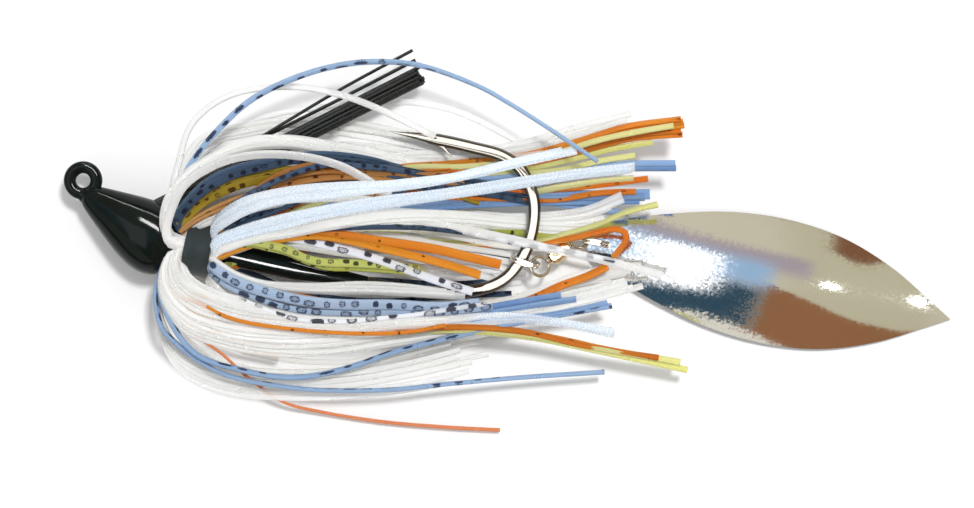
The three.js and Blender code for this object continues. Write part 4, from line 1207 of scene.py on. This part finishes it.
BARREL = BARREL_OUTSIDE + mirrored(BARREL_OUTSIDE) + mirrored(BARREL_INSIDE) + BARREL_INSIDE
BARREL.append(BARREL_OUTSIDE[0])
barrel = lathe("swivel_barrel_shell", SWIVEL_BRASS, BARREL, barrel_mid, swivel_axis, segments=40)
declare(barrel, "barrel", "swivel_brass", "swivel_barrel")

# ---- blade ----------------------------------------------------------------------------------

BLADE_LENGTH = 57.0
BLADE_HALF = 9.64
BLADE_DOME = 3.7
BLADE_SHEET = 0.6
BLADE_BEVEL = 0.09
HOLE_RADIUS = 1.05
HOLE_INSET = 3.4
RING_TO_END = 1.2                 # from the ring's middle back to the blade's blunt end
BLADE_EDGE = [
    (0, 0), (0.35, 1.35), (1.2, 2.5), (4.5, 4.24), (13.6, 7.3), (21.5, 9.1), (30, BLADE_HALF), (38.5, 8.64),
    (46.7, 5.76), (53, 2.3), (BLADE_LENGTH, 0),
]
TIP_LEVEL = 0.315                 # of the sheet's middle, over the table
HOLE_LEVEL = 1.485


def blade_point(x, share, side):
    """A point of the blade: x mm from the blunt end, share -1 to 1 across, side -1 under, 1 over."""
    edge = float(np.interp(x, EDGE_X, EDGE_Y))
    dome = BLADE_DOME * (edge / BLADE_HALF) ** 2.5
    height = dome * (1 - share * share) + side * BLADE_SHEET / 2
    return Vector((x, share * edge, height))


edge_route = smooth_route([Vector((x, y, 0)) * MM for x, y in BLADE_EDGE], 0.25) / MM
EDGE_X, EDGE_Y = edge_route[:, 0], edge_route[:, 1]
blade_slope = math.asin((HOLE_LEVEL - TIP_LEVEL) / (BLADE_LENGTH - HOLE_INSET))


def make_blade():
    stations = 120
    columns = 28
    turns = [math.pi * (0.004 + 0.994 * i / stations) for i in range(stations + 1)]
    xs = [BLADE_LENGTH * (0.5 - 0.5 * math.cos(turn)) for turn in turns]
    points, faces = [], []
    for side in (1, -1):
        for x in xs:
            for j in range(columns + 1):
                share = math.sin(math.pi / 2 * (2 * j / columns - 1))
                points.append(blade_point(x, share, side))
    row = columns + 1
    under = len(points) // 2
    for i in range(stations):
        for j in range(columns):
            a = i * row + j
            faces.append((a, a + row, a + row + 1, a + 1))
            faces.append((under + a, under + a + 1, under + a + row + 1, under + a + row))
        for a, order in ((i * row, 1), (i * row + columns, -1)):
            quad = (a, under + a, under + a + row, a + row)
            faces.append(quad[::order])
    for j in range(columns):
        first, last = j, stations * row + j
        faces.append((first, first + 1, under + first + 1, under + first))
        faces.append((last, under + last, under + last + 1, last + 1))
    mesh = bpy.data.meshes.new("willow_blade_sheet")
    place = (
        Matrix.Translation(blade_origin)
        @ Matrix.Rotation(blade_heading, 4, "Z")
        @ Matrix.Rotation(blade_slope, 4, "Y")
    )
    mesh.from_pydata([place @ (p * MM) for p in points], [], faces)
    piece = finish_mesh(mesh, "willow_blade_sheet", BLADE_NICKEL, 50)
    drill_at = place @ (Vector((HOLE_INSET, 0, 0)) * MM)
    drill_profile = [(-3, 0), (-3, HOLE_RADIUS), (3, HOLE_RADIUS), (3, 0)]
    drill = lathe("drill", BLADE_NICKEL, drill_profile, drill_at, UP, 48)
    cut = piece.modifiers.new("hole", "BOOLEAN")
    cut.object = drill
    cut.solver = "EXACT"
    bevel = piece.modifiers.new("edge", "BEVEL")
    bevel.width = BLADE_BEVEL * MM
    bevel.segments = 2
    bevel.limit_method = "ANGLE"
    bevel.angle_limit = math.radians(50)
    apply_modifiers(piece)
    bpy.data.objects.remove(drill)
    return piece


def apply_modifiers(piece):
    graph = bpy.context.evaluated_depsgraph_get()
    graph.update()
    mesh = bpy.data.meshes.new_from_object(piece.evaluated_get(graph))
    piece.modifiers.clear()
    piece.data = mesh


blade_heading = math.atan2(blade_dir.y, blade_dir.x)
blade_origin = blade_ring_mid - blade_dir * RING_TO_END * MM
blade_origin.z = (TIP_LEVEL + BLADE_LENGTH * math.sin(blade_slope)) * MM
blade = make_blade()
declare(blade, "blade", "polished_nickel", "willow_blade")

# ---- table, light and camera ----------------------------------------------------------------

EVEN_LIGHT = 0.6                  # radiance of the even light on everything that isn't a mirror
TABLE_HALF = 1.5
LENS = 90
SENSOR = 36
SEEN_WIDTH = 147.6                # mm across the picture
SEEN_LEVEL = 4                    # mm over the table where it is that wide
SEEN_CENTRE = at(43.2, -1.1)


def make_table():
    g = Graph(bpy.data.materials.new("table_white"))
    g.set(Base_Color=rgb(0.95, 0.95, 0.95), Roughness=0.7)
    mesh = bpy.data.meshes.new("table")
    corners = [(x * TABLE_HALF, y * TABLE_HALF, 0) for x, y in ((-1, -1), (1, -1), (1, 1), (-1, 1))]
    mesh.from_pydata(corners, [], [(0, 1, 2, 3)])
    table = finish_mesh(mesh, "table", g.owner)


def add_area(name, place, target, size, power, along=(1, 0, 0), only=()):
    """A rectangular lamp facing target, its first side laid along a direction.

    With only given it is a glint: it shows in the gloss of those pieces and nowhere else.
    """
    back = (Vector(place) - Vector(target)).normalized()
    first = (Vector(along) - back * Vector(along).dot(back)).normalized()
    light = bpy.data.lights.new(name, "AREA")
    light.shape = "RECTANGLE"
    light.size, light.size_y = size
    light.energy = power
    lamp = bpy.data.objects.new(name, light)
    turn = Matrix((first, back.cross(first), back)).transposed().to_4x4()
    lamp.matrix_world = Matrix.Translation(place) @ turn
    lamp.visible_glossy = bool(only)
    lamp.visible_diffuse = not only
    lamp.visible_transmission = False
    if only:
        lit = bpy.data.collections.new(name)
        for piece in only:
            lit.objects.link(piece)
        lamp.light_linking.receiver_collection = lit
    bpy.context.scene.collection.objects.link(lamp)


def add_glint(name, spot, away, distance, size, power, along, only):
    """A small light for some pieces' gloss, distance mm off a spot on the model."""
    place = spot + Vector(away).normalized() * distance * MM
    add_area(name, place, spot, size, power, along, only)


def make_world():
    """Even light on everything, and a room of beige, white, brown and dark panels in mirrors.

    u and v are the slopes, along and across the blade, that a mirror needs to show a direction
    to a viewer overhead.
    """
    g = Graph(bpy.data.worlds.new("studio"))
    ray = g.xyz(g.node("ShaderNodeTexCoord").outputs["Generated"])
    height = g.math("ADD", g.math("MAXIMUM", ray["Z"], -0.9), 1.0)
    slope_x = g.math("DIVIDE", ray["X"], height)
    slope_y = g.math("DIVIDE", ray["Y"], height)

    def turned(operation, a, b):
        return g.math(operation, g.math("MULTIPLY", a, blade_dir.x), g.math("MULTIPLY", b, blade_dir.y))

    u = turned("ADD", slope_x, slope_y)
    v = turned("SUBTRACT", slope_y, slope_x)

    def above(value, edge, blur):
        made = g.node(
            "ShaderNodeMapRange", {"Value": value, "From Min": edge - blur, "From Max": edge + blur},
            interpolation_type="SMOOTHSTEP",
        )
        return made.outputs["Result"]

    def below(value, edge, blur):
        return g.math("SUBTRACT", 1.0, above(value, edge, blur))

    def slanted(slant):
        return g.math("MULTIPLY_ADD", u, slant, v)

    tip_brown = g.product(below(slanted(0.7), 0.0, 0.015), above(u, 0.05, 0.03))
    rim_brown = g.product(above(slanted(1.5), 0.88, 0.02), above(u, 0.25, 0.02))
    haze = g.product(above(v, 0.12, 0.1), below(v, 0.34, 0.06), above(u, -0.16, 0.05), below(u, 0.19, 0.03))
    dark = g.product(below(v, -0.08, 0.12), below(u, 0.05, 0.04))
    sky = g.product(below(v, 0.2, 0.1), above(v, -0.1, 0.1), below(u, 0.07, 0.04))
    window = g.product(
        above(u, -0.4, 0.04), below(u, -0.09, 0.05), above(v, -0.27, 0.08), below(v, 0.18, 0.04),
    )
    steep = g.math("SQRT", g.math("ADD", g.math("MULTIPLY", u, u), g.math("MULTIPLY", v, v)))
    room = rgb(0.64, 0.60, 0.48)
    for mask, colour in (
        (above(u, 0.12, 0.1), (0.55, 0.52, 0.38)),
        (haze, (0.42, 0.37, 0.42)),
        (tip_brown, (0.30, 0.14, 0.065)),
        (dark, (0.03, 0.075, 0.12)),
        (sky, (0.34, 0.52, 0.78)),
        (below(slanted(0.9), -0.6, 0.03), (0.78, 0.76, 0.68)),
        (rim_brown, (0.22, 0.1, 0.05)),
        (window, (1.9, 1.95, 2.05)),
        (above(steep, 0.84, 0.05), (0.02, 0.02, 0.02)),
    ):
        room = g.mix(mask, room, rgb(*colour))
    glossy = g.node("ShaderNodeLightPath").outputs["Is Glossy Ray"]
    even = rgb(EVEN_LIGHT, EVEN_LIGHT, EVEN_LIGHT * 1.01)
    g.put(g.tree.nodes["Background"].inputs["Color"], g.mix(glossy, even, room))
    bpy.context.scene.world = g.owner


def make_camera():
    data = bpy.data.cameras.new("camera")
    data.lens = LENS
    data.sensor_width = SENSOR
    data.clip_start = 0.01
    camera = bpy.data.objects.new("camera", data)
    camera.location = (SEEN_CENTRE.x, SEEN_CENTRE.y, (SEEN_WIDTH * LENS / SENSOR + SEEN_LEVEL) * MM)
    bpy.context.scene.collection.objects.link(camera)
    bpy.context.scene.camera = camera


make_table()
make_world()
add_area("key", (0.17, 0.27, 0.84), (0, 0, 0), (0.12, 0.12), 5.0)
painted = (head, tie_ring, neck, keeper)
wires = (hook, hook_ring, blade_ring, barrel)
for name, spot, away, distance, size, power, along, only in (
    ("head_glint", at(-6.4, 3, 9), (0.19, 0.585, 0.78), 120, (0.1, 0.02), 0.5, HEAD_AXIS, painted),
    ("head_edge_glint", at(-11.4, 6.7, 7), (0.08, 0.96, 0.27), 120, (0.08, 0.006), 0.05, HEAD_AXIS, painted),
    ("keeper_glint", at(10, -2.8, 7), (-0.13, -0.5, 0.86), 100, (0.09, 0.05), 1.6, shank, (keeper,)),
    ("wire_glint", at(44, 3, 5), (0, 0, 1), 45, (0.16, 0.16), 0.65, (1, 0, 0), wires),
    ("guard_glint", at(24, 19, 8), (-0.2, 0.5, 0.85), 150, (0.16, 0.012), 0.05, GUARD_AXIS, (guard,)),
    ("tip_glint", at(109.6, -8.5, 2), (0.431, 0.072, 0.9), 150, (0.012, 0.012), 0.012, (1, 0, 0), (blade,)),
):
    add_glint(name, spot, away, distance, size, power, along, only)
make_camera()
bpy.context.scene.view_settings.view_transform = "Standard"
